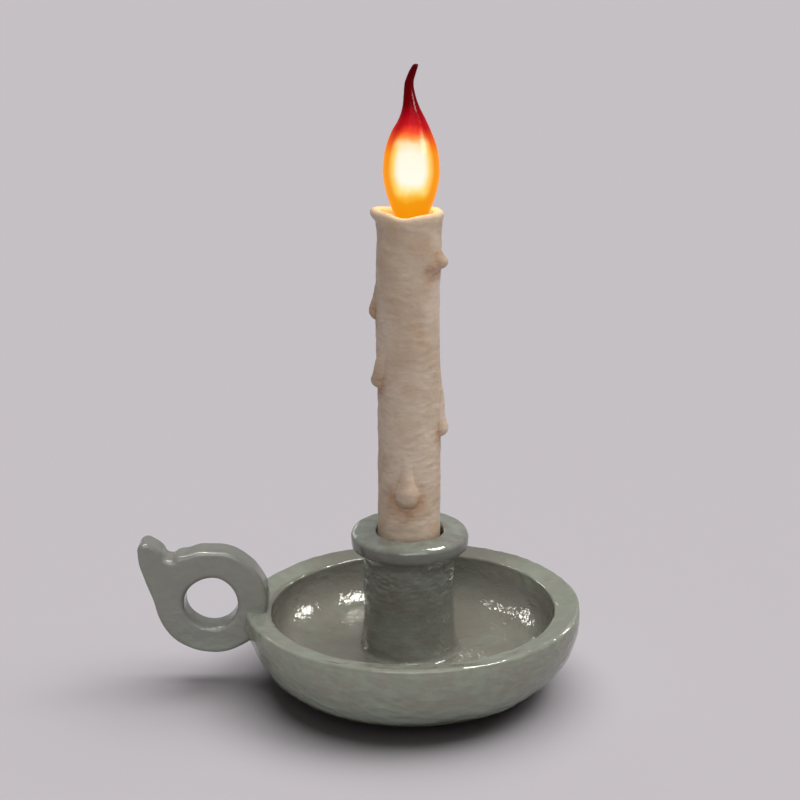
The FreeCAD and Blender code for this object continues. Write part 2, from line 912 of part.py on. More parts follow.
# The centre contact is one strip: a foot on the web, a riser and a tongue under the bulb
contact_lift = s.holder_web
lampholder_centre_contact = new_body("lampholder_centre_contact")
contact_sketch = new_sketch(lampholder_centre_contact, "XZ_Plane", -s.contact_width / 2)
outline(
    contact_sketch,
    (-s.contact_radius, 0),
    (s.contact_radius, 0),
    (s.contact_radius, s.contact_strip),
    (s.contact_strip - s.contact_radius, s.contact_strip),
    (s.contact_strip - s.contact_radius, contact_lift - s.contact_strip),
    (s.tip_radius, contact_lift - s.contact_strip),
    (s.tip_radius, contact_lift),
    (-s.contact_radius, contact_lift),
)
extruded(lampholder_centre_contact, contact_sketch, s.contact_width)
place(lampholder_centre_contact, z=holder_bottom + web_top)

# Lamp bulb: screw cap, insulator and tip contact, glass stem, lit filaments, flame glass

bulb_bottom = holder_bottom + web_top + contact_lift + s.contact_gap
bulb_tip_contact = turned(
    "bulb_tip_contact",
    (0, 0),
    (s.tip_radius * DIAGONAL_SHARE, 0),
    (s.tip_radius, s.tip_height * (1 - DIAGONAL_SHARE)),
    (s.tip_radius, s.tip_height),
    (0, s.tip_height),
)
place(bulb_tip_contact, z=bulb_bottom)

cap_inner = s.cap_radius - s.cap_wall
insulator_bottom = bulb_bottom + s.tip_height * (1 - DIAGONAL_SHARE)
bulb_insulator = turned(
    "bulb_insulator",
    (s.tip_radius + s.tube_fit, 0),
    (s.tip_radius + s.cap_wall * 2, 0),
    (cap_inner, s.insulator_height),
    (cap_inner - s.seat_clearance, s.insulator_height),
    (cap_inner - s.seat_clearance, s.insulator_height + s.insulator_plug),
    (s.tip_radius + s.tube_fit, s.insulator_height + s.insulator_plug),
)
place(bulb_insulator, z=insulator_bottom)

cap_bottom = insulator_bottom + s.insulator_height + s.cap_fit
bulb_screw_shell = turned(
    "bulb_screw_shell",
    (cap_inner, 0),
    (s.cap_radius, 0),
    (s.cap_radius, s.cap_height),
    (cap_inner, s.cap_height),
)
place(bulb_screw_shell, z=cap_bottom)

glass_bottom = cap_bottom + s.cap_height - s.bulb_neck_depth
# Flame outline: shares of the glass's height, of its widest radius, and of that radius for
# the shift of the bent tip
FLAME_SHARES = (
    (0.000, 0.350, 0.0),
    (0.044, 0.360, 0.0),
    (0.100, 0.550, 0.0),
    (0.146, 0.685, 0.0),
    (0.237, 0.857, 0.0),
    (0.290, 0.940, 0.0),
    (0.392, 1.000, 0.0),
    (0.498, 0.920, 0.0),
    (0.556, 0.815, 0.0),
    (0.609, 0.686, 0.0),
    (0.663, 0.520, 0.005),
    (0.715, 0.365, 0.0),
    (0.769, 0.270, -0.05),
    (0.827, 0.200, -0.08),
    (0.885, 0.155, -0.085),
    (0.933, 0.140, -0.015),
    (0.972, 0.110, 0.09),
    (1.000, 0.050, 0.15),
)
HOLLOW_SHARE = 0.3
flame_solid = lofted(
    "flame_solid",
    [
        (s.bulb_radius * wide, s.bulb_radius * lean, glass_bottom + s.bulb_height * high)
        for high, wide, lean in FLAME_SHARES
    ],
)
flame_hollow = lofted(
    "flame_hollow",
    [
        (
            s.bulb_radius * wide - s.bulb_wall,
            s.bulb_radius * lean,
            glass_bottom + s.bulb_height * high,
        )
        for high, wide, lean in FLAME_SHARES
        if wide > HOLLOW_SHARE
    ],
)
bulb_glass = cut_out("bulb_glass", flame_solid, flame_hollow)

bulb_stem = turned(
    "bulb_stem",
    (0, 0),
    (s.stem_foot_radius, 0),
    (s.stem_radius * 2, s.stem_flare_height * DIAGONAL_SHARE),
    (s.stem_radius * 2, s.stem_flare_height),
    (s.filament_spread, s.stem_flare_height),
    (s.filament_spread, s.stem_flare_height + s.filament_radius),
    (s.stem_radius, s.stem_flare_height + s.filament_radius),
    (s.stem_radius, s.stem_height),
    (0, s.stem_height + s.stem_radius),
)
place(bulb_stem, z=glass_bottom)

filament_bottom = glass_bottom + s.stem_flare_height + s.filament_radius
filament_side = s.filament_spread - s.filament_radius
filament = drum("filament", s.filament_radius, s.filament_length)
led_filaments = group(
    "led_filaments",
    (filament, filament_side, 0, filament_bottom),
    (filament, -filament_side, 0, filament_bottom),
    (filament, 0, filament_side, filament_bottom),
    (filament, 0, -filament_side, filament_bottom),
)

# Battery under the dish's floor, held up by a strap on two posts

battery_pack = new_body("battery_pack")
battery_sketch = new_sketch(battery_pack, "XY_Plane")
rectangle(
    battery_sketch,
    -s.battery_length / 2,
    -s.battery_width / 2,
    s.battery_length / 2,
    s.battery_width / 2,
)
battery_block = extruded(battery_pack, battery_sketch, s.battery_height)
rounded(
    battery_pack,
    battery_block,
    s.battery_corner,
    lambda edge: edge.BoundBox.YLength > s.battery_width.value * DIAGONAL_SHARE,
    "battery_edges",
)
place(battery_pack, y=battery_middle, z=battery_bottom)

battery_strap = new_body("battery_strap")
strap_sketch = new_sketch(battery_strap, "XY_Plane")
rounded_slot(strap_sketch, 0, 0, s.strap_reach * 2 + s.strap_width, s.strap_width)
for side in (-1, 1):
    circle(strap_sketch, side * s.strap_reach, 0, s.screw_radius + s.screw_clearance)
extruded(battery_strap, strap_sketch, s.strap_thickness)
place(battery_strap, y=battery_middle, z=battery_bottom - s.strap_thickness)

# Circuit board on four posts, with a tongue into the bay that carries socket and switch

circuit_board = new_body("circuit_board")
board_sketch = new_sketch(circuit_board, "XY_Plane")
tongue_half = s.board_tongue_width / 2
step_x = s.button_offset - s.switch_width / 2 - s.board_tongue_step
outline(
    board_sketch,
    (-board_half, s.board_front),
    (board_half, s.board_front),
    (board_half, s.board_back),
    (tongue_half, s.board_back),
    (tongue_half, board_tongue_end - s.board_tongue_step),
    (step_x, board_tongue_end - s.board_tongue_step),
    (step_x, board_tongue_end),
    (-tongue_half, board_tongue_end),
    (-tongue_half, s.board_back),
    (-board_half, s.board_back),
)
for x, y in board_holes:
    circle(board_sketch, x, y, s.screw_radius + s.screw_clearance)
extruded(circuit_board, board_sketch, s.board_thickness)
board_middle = (s.board_front + s.board_back) / 2
chip_sketch = new_sketch(circuit_board, "XY_Plane", s.board_thickness)
for x in (-s.chip_width, s.chip_width):
    rectangle(
        chip_sketch,
        x - s.chip_width / 2,
        board_middle - s.chip_width / 2,
        x + s.chip_width / 2,
        board_middle + s.chip_width / 2,
    )
extruded(circuit_board, chip_sketch, s.chip_height)
coil_sketch = new_sketch(circuit_board, "XY_Plane", s.board_thickness)
circle(coil_sketch, 0, s.board_back - s.coil_radius, s.coil_radius)
extruded(circuit_board, coil_sketch, s.coil_height)
place(circuit_board, z=board_top - s.board_thickness)

usb_socket = new_body("usb_socket")
socket_sketch = new_sketch(usb_socket, "XZ_Plane")
rounded_slot(socket_sketch, 0, 0, s.socket_width, s.socket_height)
extruded(usb_socket, socket_sketch, s.socket_length)
mouth_sketch = new_sketch(usb_socket, "XZ_Plane")
inner_width = s.socket_width - s.socket_wall * 2
inner_height = s.socket_height - s.socket_wall * 2
rounded_slot(mouth_sketch, 0, 0, inner_width, inner_height)
mouth_depth = s.socket_length - s.socket_height
extruded(usb_socket, mouth_sketch, mouth_depth, "Pocket", True)
blade_sketch = new_sketch(usb_socket, "XZ_Plane", s.socket_height)
rectangle(
    blade_sketch,
    -s.socket_tongue_width / 2,
    -s.socket_tongue_height / 2,
    s.socket_tongue_width / 2,
    s.socket_tongue_height / 2,
)
extruded(usb_socket, blade_sketch, mouth_depth - s.socket_wall)
place(usb_socket, -s.socket_offset, recess_face - s.socket_setback, port_height)

# Push switch: fixed body on the board, and its plunger and the button cap, which move

button_rear = bay_end - s.seat_clearance - s.button_flange_thickness
switch_front = board_tongue_end - s.board_tongue_step - s.button_travel
switch_box = document.addObject("Part::Box", "switch_box")
bind(switch_box, "Length", s.switch_width)
bind(switch_box, "Width", s.switch_depth)
bind(switch_box, "Height", s.socket_height)
place(switch_box, s.button_offset - s.switch_width / 2, switch_front - s.switch_depth, board_top)


def back_drum(name, radius, front, back):
    """A cylinder along Y on the button's axis, between two distances from the dish's axis."""
    item = drum(name, radius, back - front, s.button_offset, back, port_height)
    item.Placement.Rotation = FreeCAD.Rotation(FreeCAD.Vector(1, 0, 0), 90)
    return item


plunger_back = switch_front - s.plunger_depth
switch_body = cut_out(
    "switch_body",
    switch_box,
    back_drum(
        "switch_bore",
        s.plunger_radius + s.plunger_fit,
        plunger_back - s.button_travel - s.seat_clearance,
        switch_front + s.overrun,
    ),
)
switch_plunger = back_drum("switch_plunger", s.plunger_radius, plunger_back, button_rear)
button_cap = joined(
    "button_cap",
    back_drum(
        "button_flange_disc",
        s.button_radius + s.button_flange,
        button_rear,
        button_rear + s.button_flange_thickness,
    ),
    back_drum(
        "button_post",
        s.button_radius,
        button_rear,
        recess_face + s.button_standout,
    ),
)

# Base cover and base pad: round plates with three screw holes


def bored_plate(name, radius, thickness, height, hole_radius, sinks):
    plate = drum(f"{name}_plate", radius, thickness, z=height)
    holes = [
        drum(
            f"{name}_hole",
            hole_radius,
            thickness + s.overrun * 2,
            x,
            y,
            height - s.overrun,
        )
        for x, y in boss_places
    ]
    return cut_out(name, plate, *holes, *sinks)


def countersink(x, y):
    item = document.addObject("Part::Cone", "countersink")
    bind(item, "Radius1", s.screw_head_radius + s.screw_clearance)
    bind(item, "Radius2", s.screw_radius + s.screw_clearance)
    bind(item, "Height", s.countersink_depth)
    place(item, x, y, s.pad_thickness)
    return item


base_cover = bored_plate(
    "base_cover",
    s.cover_radius,
    s.cover_thickness,
    s.pad_thickness,
    s.screw_radius + s.screw_clearance,
    [countersink(x, y) for x, y in boss_places],
)
base_pad = bored_plate(
    "base_pad",
    s.pad_radius,
    s.pad_thickness,
    as_size(0),
    s.screw_head_radius + s.screw_clearance,
    [],
)

# Screws: pan heads for board and strap, countersunk heads for the base cover

pan_screw = turned(
    "pan_screw",
    (0, 0),
    (s.screw_head_radius * DIAGONAL_SHARE, 0),
    (s.screw_head_radius, s.screw_head_height * (1 - DIAGONAL_SHARE)),
    (s.screw_head_radius, s.screw_head_height),
    (s.screw_radius, s.screw_head_height),
    (s.screw_radius, s.screw_head_height + s.screw_length - s.seat_clearance),
    (0, s.screw_head_height + s.screw_length - s.seat_clearance),
)
sunk_screw = turned(
    "sunk_screw",
    (0, 0),
    (s.screw_head_radius, 0),
    (s.screw_radius, s.countersink_depth),
    (s.screw_radius, s.cover_thickness + s.boss_bore_depth - s.seat_clearance),
    (0, s.cover_thickness + s.boss_bore_depth - s.seat_clearance),
)
board_screw_height = board_top - s.board_thickness - s.screw_head_height
board_screws = group("board_screws", *[(pan_screw, x, y, board_screw_height) for x, y in board_holes])
strap_screw_height = battery_bottom - s.strap_thickness - s.screw_head_height
strap_screws = group("strap_screws", *[(pan_screw, x, y, strap_screw_height) for x, y in strap_holes])
cover_screws = group("cover_screws", *[(sunk_screw, x, y, s.pad_thickness) for x, y in boss_places])

# Wires: two from the board through the tube to the lampholder, two from the battery

lead_top = holder_bottom + s.holder_skirt_height
lead_low = tube_bottom - s.tube_below_nut - s.wire_bend
board_under = board_top - s.board_thickness
inner_bend = s.wire_bend * (1 - DIAGONAL_SHARE)
lamp_lead = new_body("lamp_lead")
lead_path = new_sketch(lamp_lead, "YZ_Plane")
outline(
    lead_path,
    (0, lead_top),
    (0, lead_low + s.wire_bend),
    (inner_bend, lead_low + inner_bend, s.wire_bend, lead_low),
    (s.wire_landing - s.wire_bend, lead_low),
    (
        s.wire_landing - inner_bend,
        lead_low + inner_bend,
        s.wire_landing,
        lead_low + s.wire_bend,
    ),
    (s.wire_landing, board_under),
    closed=False,
)
lead_section = new_sketch(lamp_lead, "XY_Plane", lead_top)
circle(lead_section, 0, 0, s.wire_radius)
lead_pipe = lamp_lead.newObject("PartDesign::AdditivePipe", "lead_pipe")
lead_pipe.Profile = lead_section
lead_pipe.Spine = (lead_path, [f"Edge{number}" for number in range(1, 6)])

battery_lead = drum("battery_lead", s.battery_wire_radius, s.board_front + s.battery_offset)
battery_lead.Placement.Rotation = FreeCAD.Rotation(FreeCAD.Vector(1, 0, 0), -90)
lead_wires = group(
    "lead_wires",
    (lamp_lead, s.wire_spacing, 0, 0),
    (lamp_lead, -s.wire_spacing, 0, 0),
    (battery_lead, s.battery_wire_offset, -s.battery_offset, board_top - s.board_thickness / 2),
    (battery_lead, -s.battery_wire_offset, -s.battery_offset, board_top - s.board_thickness / 2),
)

document.recompute()

# Check every object, then write one file for each sub-part

SUB_PARTS = (
    tray,
    finger_ring,
    candle_cup,
    candle_sleeve,
    stem_tube,
    stem_nuts,
    stem_washers,
    candle_centring_disc,
    lampholder_coupler,
    lampholder_body,
    lampholder_thread_shell,
    lampholder_centre_contact,
    bulb_tip_contact,
    bulb_insulator,
    bulb_screw_shell,
    bulb_stem,
    led_filaments,
    bulb_glass,
    battery_pack,
    battery_strap,
    strap_screws,
    circuit_board,
    board_screws,
    usb_socket,
    switch_body,
    switch_plunger,
    button_cap,
    base_cover,
    cover_screws,
    base_pad,
    lead_wires,
)

for item in document.Objects:
    faults = [state for state in item.State if state in ("Invalid", "Error")]
    if faults:
        raise ValueError(f"{item.Name} is {faults[0]}: {item.getStatusString()}")

os.makedirs("parts", exist_ok=True)
for item in SUB_PARTS:
    shape = item.Shape
    if shape.isNull() or not shape.isValid() or not shape.Solids:
        raise ValueError(f"{item.Label} has no valid solid")
    shape.exportStep(f"parts/{item.Label}.step")
    box = shape.optimalBoundingBox()
    print(
        f"{item.Label}: {len(shape.Solids)} solids, {shape.Volume:.0f} mm3,",
        f"X {box.XMin:.1f} {box.XMax:.1f} Y {box.YMin:.1f} {box.YMax:.1f}",
        f"Z {box.ZMin:.1f} {box.ZMax:.1f}",
    )
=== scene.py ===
import math

import bmesh
import bpy
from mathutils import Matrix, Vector, noise


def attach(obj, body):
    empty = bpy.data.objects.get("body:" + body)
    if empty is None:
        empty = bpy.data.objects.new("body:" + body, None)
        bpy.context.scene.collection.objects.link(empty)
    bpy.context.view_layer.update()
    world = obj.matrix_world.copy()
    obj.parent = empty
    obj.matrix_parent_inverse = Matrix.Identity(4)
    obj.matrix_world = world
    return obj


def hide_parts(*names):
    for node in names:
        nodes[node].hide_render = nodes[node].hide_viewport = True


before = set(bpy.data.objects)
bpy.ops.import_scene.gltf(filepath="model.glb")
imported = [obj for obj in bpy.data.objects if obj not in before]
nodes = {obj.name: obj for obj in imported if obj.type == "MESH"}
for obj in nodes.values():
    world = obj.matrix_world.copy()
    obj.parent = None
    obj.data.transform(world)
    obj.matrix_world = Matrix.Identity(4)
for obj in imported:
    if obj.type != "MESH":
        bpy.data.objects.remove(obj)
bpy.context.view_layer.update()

# Camera: a 75 mm lens one metre in front of the lamp, at 47 cm, looking down at it by
# 15 degrees, level and without any shift.
MM = 0.001
EYE = Vector((-6.9, -1015.3, 472.3)) * MM
LOOK_DOWN_DEGREES = 15.45
camera_data = bpy.data.cameras.new("camera")
camera_data.lens = 75
camera_data.sensor_width = 36
camera = bpy.data.objects.new("camera", camera_data)
camera.location = EYE
camera.rotation_euler = (math.radians(90 - LOOK_DOWN_DEGREES), 0, 0)
bpy.context.scene.collection.objects.link(camera)
bpy.context.scene.camera = camera
bpy.context.scene.view_settings.view_transform = "Standard"

# Dish: one resin casting with a thick rolled rim and a hollow foot. It is modelled like
# clay by hand, so no stretch of it is quite even, and it is brushed with grey-green gloss
# paint. The back has a recess for the charging socket and the push button.
DISH_RADIUS = 108.0
WALL_SWEEP = 47.0
FOOT_HEIGHT = 1.0
RIM_TOP = 55.0
RIM_INNER_TOP = 52.4
RIM_OUTER_ROLL = 1.9
RIM_INNER_ROLL = 1.8
RIM_INNER_RADIUS = 91.9
DISH_SWEEP = 28.4
DISH_FLOOR = 24.0
CUP_SEAT = 22.5
CUP_SEAT_RADIUS = 32.7
STEM_HOLE_RADIUS = 5.2
FOOT_CEILING = 19.0
CAVITY_RADIUS = 56.0
COVER_LEDGE = 4.0
COVER_RECESS_RADIUS = 58.0
DISH_OFF_CENTRE = 1.3


def bend(middle, radii, start, end, steps):
    """Points of an arc in the plane of radius and height, between two angles."""
    return [
        (
            middle[0] + radii[0] * math.cos(math.radians(start + (end - start) * step / steps)),
            middle[1] + radii[1] * math.sin(math.radians(start + (end - start) * step / steps)),
        )
        for step in range(steps + 1)
    ]


def straight(start, end, steps):
    return [
        (
            start[0] + (end[0] - start[0]) * step / steps,
            start[1] + (end[1] - start[1]) * step / steps,
        )
        for step in range(1, steps + 1)
    ]


def soft_step(value, low, high):
    """0 at the first limit and past it, 1 at the second, and smooth between them."""
    share = min(1.0, max(0.0, (value - low) / (high - low)))
    return share * share * (3 - 2 * share)


def unevenness(place, size, seed=0):
    """Smooth noise from about -1 to 1 whose lumps are as large as the size in millimetres."""
    return noise.noise(Vector((place[0] / size + seed, place[1] / size, place[2] / size)))


def piece_from(name, corners, faces, crease_degrees=35):
    """A smooth-shaded piece from corners in millimetres; edges past the angle stay sharp."""
    mesh = bpy.data.meshes.new(name)
    mesh.from_pydata([Vector(corner) * MM for corner in corners], [], faces)
    piece = bpy.data.objects.new(name, mesh)
    bpy.context.scene.collection.objects.link(piece)
    tidy_mesh(piece, crease_degrees)
    return piece


def tidy_mesh(piece, crease_degrees):
    """Face the mesh outwards, shade it smooth and keep its real edges sharp."""
    shell = bmesh.new()
    shell.from_mesh(piece.data)
    bmesh.ops.recalc_face_normals(shell, faces=shell.faces)
    for face in shell.faces:
        face.smooth = True
    for edge in shell.edges:
        if len(edge.link_faces) == 2:
            edge.smooth = edge.calc_face_angle() < math.radians(crease_degrees)
    shell.to_mesh(piece.data)
    shell.free()


def turned_grid(outline, around):
    """Corners and faces of a closed outline of radii and heights turned round the axis."""
    corners = []
    for radius, height in outline:
        for step in range(around):
            turn = 2 * math.pi * step / around
            corners.append((radius * math.cos(turn), radius * math.sin(turn), height))
    faces = []
    rows = len(outline)
    for row in range(rows):
        after = (row + 1) % rows
        for step in range(around):
            beside = (step + 1) % around
            faces.append(
                (
                    row * around + step,
                    row * around + beside,
                    after * around + beside,
                    after * around + step,
                )
            )
    return corners, faces


def hand_shaped(piece, swell):
    """Move each corner along its normal by what swell(place) gives, in millimetres."""
    mesh = piece.data
    normals = [corner.normal.copy() for corner in mesh.vertices]
    for corner, normal in zip(mesh.vertices, normals):
        place = corner.co / MM
        corner.co += normal * (swell(place) * MM)
    mesh.update()


def carve(piece, *tools):
    """Cut other meshes out of a piece and remove them."""
    for tool in tools:
        cut = piece.modifiers.new("cut", "BOOLEAN")
        cut.operation = "DIFFERENCE"
        cut.object = tool
        cut.solver = "EXACT"
    carved = bpy.data.meshes.new_from_object(
        piece.evaluated_get(bpy.context.evaluated_depsgraph_get())
    )
    piece.modifiers.clear()
    piece.data = carved
    for tool in tools:
        bpy.data.objects.remove(tool)


def prism_along_y(name, ring, front, back):
    """A straight bar along Y with the given outline of X and Z."""
    count = len(ring)
    corners = [(x, front, z) for x, z in ring] + [(x, back, z) for x, z in ring]
    faces = [tuple(range(count)), tuple(range(2 * count - 1, count - 1, -1))]
    for step in range(count):
        beside = (step + 1) % count
        faces.append((step, count + step, count + beside, beside))
    return piece_from(name, corners, faces)


def slot_ring(x, z, width, height):
    """The outline of a slot with half-round ends."""
    end = (width - height) / 2
    half = (height / 2, height / 2)
    return bend((x + end, z), half, -90, 90, 16) + bend((x - end, z), half, 90, 270, 16)


dish_outline = (
    bend(
        (DISH_RADIUS - WALL_SWEEP, FOOT_HEIGHT + WALL_SWEEP),
        (WALL_SWEEP, WALL_SWEEP),
        -90,
        0,
        78,
    )
    + bend(
        (DISH_RADIUS - RIM_OUTER_ROLL, RIM_TOP - RIM_OUTER_ROLL),
        (RIM_OUTER_ROLL, RIM_OUTER_ROLL),
        0,
        98,
        8,
    )
    + straight(
        (DISH_RADIUS - RIM_OUTER_ROLL, RIM_TOP),
        (RIM_INNER_RADIUS + RIM_INNER_ROLL, RIM_INNER_TOP),
        9,
    )
    + bend(
        (RIM_INNER_RADIUS + RIM_INNER_ROLL, RIM_INNER_TOP - RIM_INNER_ROLL),
        (RIM_INNER_ROLL, RIM_INNER_ROLL),
        100,
        180,
        7,
    )
    + bend(
        (RIM_INNER_RADIUS - DISH_SWEEP, RIM_INNER_TOP - RIM_INNER_ROLL),
        (DISH_SWEEP, RIM_INNER_TOP - RIM_INNER_ROLL - DISH_FLOOR),
        -2,
        -90,
        46,
    )
    + straight((RIM_INNER_RADIUS - DISH_SWEEP, DISH_FLOOR), (CUP_SEAT_RADIUS, DISH_FLOOR), 31)
    + [
        (CUP_SEAT_RADIUS, CUP_SEAT),
        (STEM_HOLE_RADIUS, CUP_SEAT),
        (STEM_HOLE_RADIUS, FOOT_CEILING),
        (CAVITY_RADIUS, FOOT_CEILING),
        (CAVITY_RADIUS, COVER_LEDGE),
        (COVER_RECESS_RADIUS, COVER_LEDGE),
        (COVER_RECESS_RADIUS, FOOT_HEIGHT),
    ]
)
dish = piece_from("dish_cast", *turned_grid(dish_outline, 480))

# Beside the finger ring the rim ends in a lump, pressed against the ring's face
RIM_END = Vector((-102.5, -13.0, 45.0))
RIM_END_SIZE = 7.5
RIM_END_SWELL = 3.3


def dish_swell(place):
    """How far the hand-made wall stands out: nothing at the foot, the seats and the port."""
    radius = math.hypot(place.x, place.y)
    if radius < DISH_RADIUS - WALL_SWEEP and place.z < CUP_SEAT + 1:
        return 0.0
    give = soft_step(place.z, 2.0, 14.0)
    if place.z < DISH_FLOOR + 4:
        give *= soft_step(radius, CUP_SEAT_RADIUS, CUP_SEAT_RADIUS + 14)
    near_port = soft_step(place.y, 70, 84) * soft_step(-abs(place.x), -30, -20)
    give *= 1 - near_port * soft_step(-place.z, -34, -24)
    inside = soft_step(-radius, -RIM_INNER_RADIUS, -RIM_INNER_RADIUS + 8)
    broad = 0.95 * unevenness(place, 42) + 0.4 * unevenness(place, 17, 3)
    dents = abs(unevenness((place.x + place.z, place.y, place.z * 1.6), 12, 21))
    crumpled = 0.6 * (0.25 - dents) + 0.12 * unevenness(place, 6.5, 7)
    lump = (place - RIM_END).length / RIM_END_SIZE
    rim_end = RIM_END_SWELL * math.exp(-lump * lump)
    return give * (1 - 0.6 * inside) * (broad + crumpled) + rim_end


hand_shaped(dish, dish_swell)

# The rim is higher at the right back, lower at the left and pulled out to the right
RIM_RISE = 2.7
RIM_RISE_ANGLE = 40.0
RIM_RISE_SPAN = 46.0
RIM_FALL = 1.1
RIM_END_FALL = 3.6
RIM_PULL = 1.1
for corner in dish.data.vertices:
    shift = soft_step(corner.co.z / MM, FOOT_HEIGHT, DISH_FLOOR + 6)
    shift *= soft_step(corner.co.xy.length / MM, CUP_SEAT_RADIUS + 1, CAVITY_RADIUS)
    aside = math.degrees(math.atan2(corner.co.y, corner.co.x)) - RIM_RISE_ANGLE
    rise = RIM_RISE * math.exp(-((aside / RIM_RISE_SPAN) ** 2))
    corner.co.x += DISH_OFF_CENTRE * shift * MM
    rise -= RIM_FALL * soft_step(-corner.co.x / MM, 20, 70)
    beside_ring = (corner.co.xy / MM - RIM_END.xy).length / RIM_END_SIZE
    rise -= RIM_END_FALL * math.exp(-beside_ring * beside_ring)
    upper = soft_step(corner.co.z / MM, 26, 50)
    corner.co.z += rise * upper * MM
    corner.co.x += RIM_PULL * upper * soft_step(corner.co.x / MM, 88, 106) * MM

# The recess at the back with the charging port and the button's bore, and the bay behind it
PORT_HEIGHT = 15.03
RECESS_FACE = 92.5
RECESS_WIDTH = 32.0
RECESS_HEIGHT = 9.0
BAY_HALF_WIDTH = 17.0
BAY_START = 50.0
BAY_END = 85.5
BAY_BOTTOM = 11.0
SOCKET_X = -8.0
SOCKET_WIDTH = 9.34
SOCKET_HEIGHT = 3.66
BUTTON_X = 9.0
BUTTON_HOLE_RADIUS = 3.3
OUTSIDE = 112.0
bay_ring = [
    (-BAY_HALF_WIDTH, BAY_BOTTOM),
    (BAY_HALF_WIDTH, BAY_BOTTOM),
    (BAY_HALF_WIDTH, FOOT_CEILING),
    (-BAY_HALF_WIDTH, FOOT_CEILING),
]
button_ring = bend(
    (BUTTON_X, PORT_HEIGHT), (BUTTON_HOLE_RADIUS, BUTTON_HOLE_RADIUS), 0, 352.5, 47
)
carve(
    dish,
    prism_along_y("bay", bay_ring, BAY_START, BAY_END),
    prism_along_y(
        "recess", slot_ring(0, PORT_HEIGHT, RECESS_WIDTH, RECESS_HEIGHT), RECESS_FACE, OUTSIDE
    ),
    prism_along_y(
        "port", slot_ring(SOCKET_X, PORT_HEIGHT, SOCKET_WIDTH, SOCKET_HEIGHT), BAY_END - 2, OUTSIDE
    ),
    prism_along_y("button_hole", button_ring, BAY_END - 2, OUTSIDE),
)
tidy_mesh(dish, 35)


class Signal:
    """A shader value. Arithmetic on it adds Math nodes to the finish that it belongs to."""

    def __init__(self, finish, socket):
        self.finish = finish
        self.socket = socket

    def maths(self, operation, *values):
        return self.finish.node("Math", {"operation": operation}, dict(enumerate(values)))

    def __add__(self, other):
        return self.maths("ADD", self, other)

    __radd__ = __add__

    def __sub__(self, other):
        return self.maths("SUBTRACT", self, other)

    def __rsub__(self, other):
        return self.maths("SUBTRACT", other, self)

    def __mul__(self, other):
        return self.maths("MULTIPLY", self, other)

    __rmul__ = __mul__


class Finish:
    """A procedural finish: one Principled shader and the nodes that feed it."""

    def __init__(self, name, **values):
        self.material = bpy.data.materials.new(name)
        self.material.use_nodes = True
        self.tree = self.material.node_tree
        self.shader = self.tree.nodes["Principled BSDF"]
        self.output = self.tree.nodes["Material Output"]
        self.place = self.node("TexCoord", output="Object")
        self.wear(**values)

    def node(self, kind, settings=None, inputs=None, output=0):
        """Any other shader node: its settings, its ramp's stops, its inputs, then its output."""
        made = self.tree.nodes.new("ShaderNode" + kind)
        for word, value in (settings or {}).items():
            if word == "stops":
                while len(made.color_ramp.elements) < len(value):
                    made.color_ramp.elements.new(0.5)
                for stop, (position, colour) in zip(made.color_ramp.elements, value):
                    stop.position = position
                    stop.color = (*colour, 1)
            else:
                setattr(made, word, value)
        for word, value in (inputs or {}).items():
            self.feed(made.inputs[word], value)
        return Signal(self, made.outputs[output])

    def feed(self, socket, value):
        if isinstance(value, Signal):
            self.tree.links.new(value.socket, socket)
        elif socket.type == "RGBA" and len(value) == 3:
            socket.default_value = (*value, 1)
        else:
            socket.default_value = value

    def wear(self, **values):
        """Feed the Principled shader: base_color=... goes to its Base Color, and so on."""
        for words, value in values.items():
            label = words.replace("_", " ").title().replace("Ior", "IOR")
            self.feed(self.shader.inputs[label], value)

    def grain(self, size, detail=2.0, stretch=None):
        """Noise whose lumps are about as large as the size in millimetres."""
        place = self.place
        if stretch:
            place = self.node("VectorMath", {"operation": "MULTIPLY"}, {0: place, 1: stretch})
        return self.node(
            "TexNoise", inputs={"Vector": place, "Scale": 1 / (size * MM), "Detail": detail}
        )

    def between(self, signal, low, high):
        """0 where the signal is below the first limit, 1 above the second, smooth between."""
        return self.node(
            "MapRange",
            {"interpolation_type": "SMOOTHSTEP"},
            {0: signal, "From Min": low, "From Max": high},
        )

    def blend(self, factor, first, second):
        """Mix two colours."""
        return self.node("Mix", {"data_type": "RGBA"}, {0: factor, 6: first, 7: second}, 2)

    def bump(self, height, depth, under=None):
        """Relief of the given depth in millimetres, on top of other relief."""
        inputs = {"Strength": 1.0, "Distance": depth * MM, "Height": height}
        if under:
            inputs["Normal"] = under
        return self.node("Bump", inputs=inputs)

    def coat(self, *pieces):
        for piece in pieces:
            piece.data.materials.clear()
            piece.data.materials.append(self.material)


def shade(red, green, blue):
    """A colour as it is read off a screen, in the linear values that shaders take."""
    return tuple(
        (part / 255 / 12.92) if part < 10.3 else ((part / 255 + 0.055) / 1.055) ** 2.4
        for part in (red, green, blue)
    )


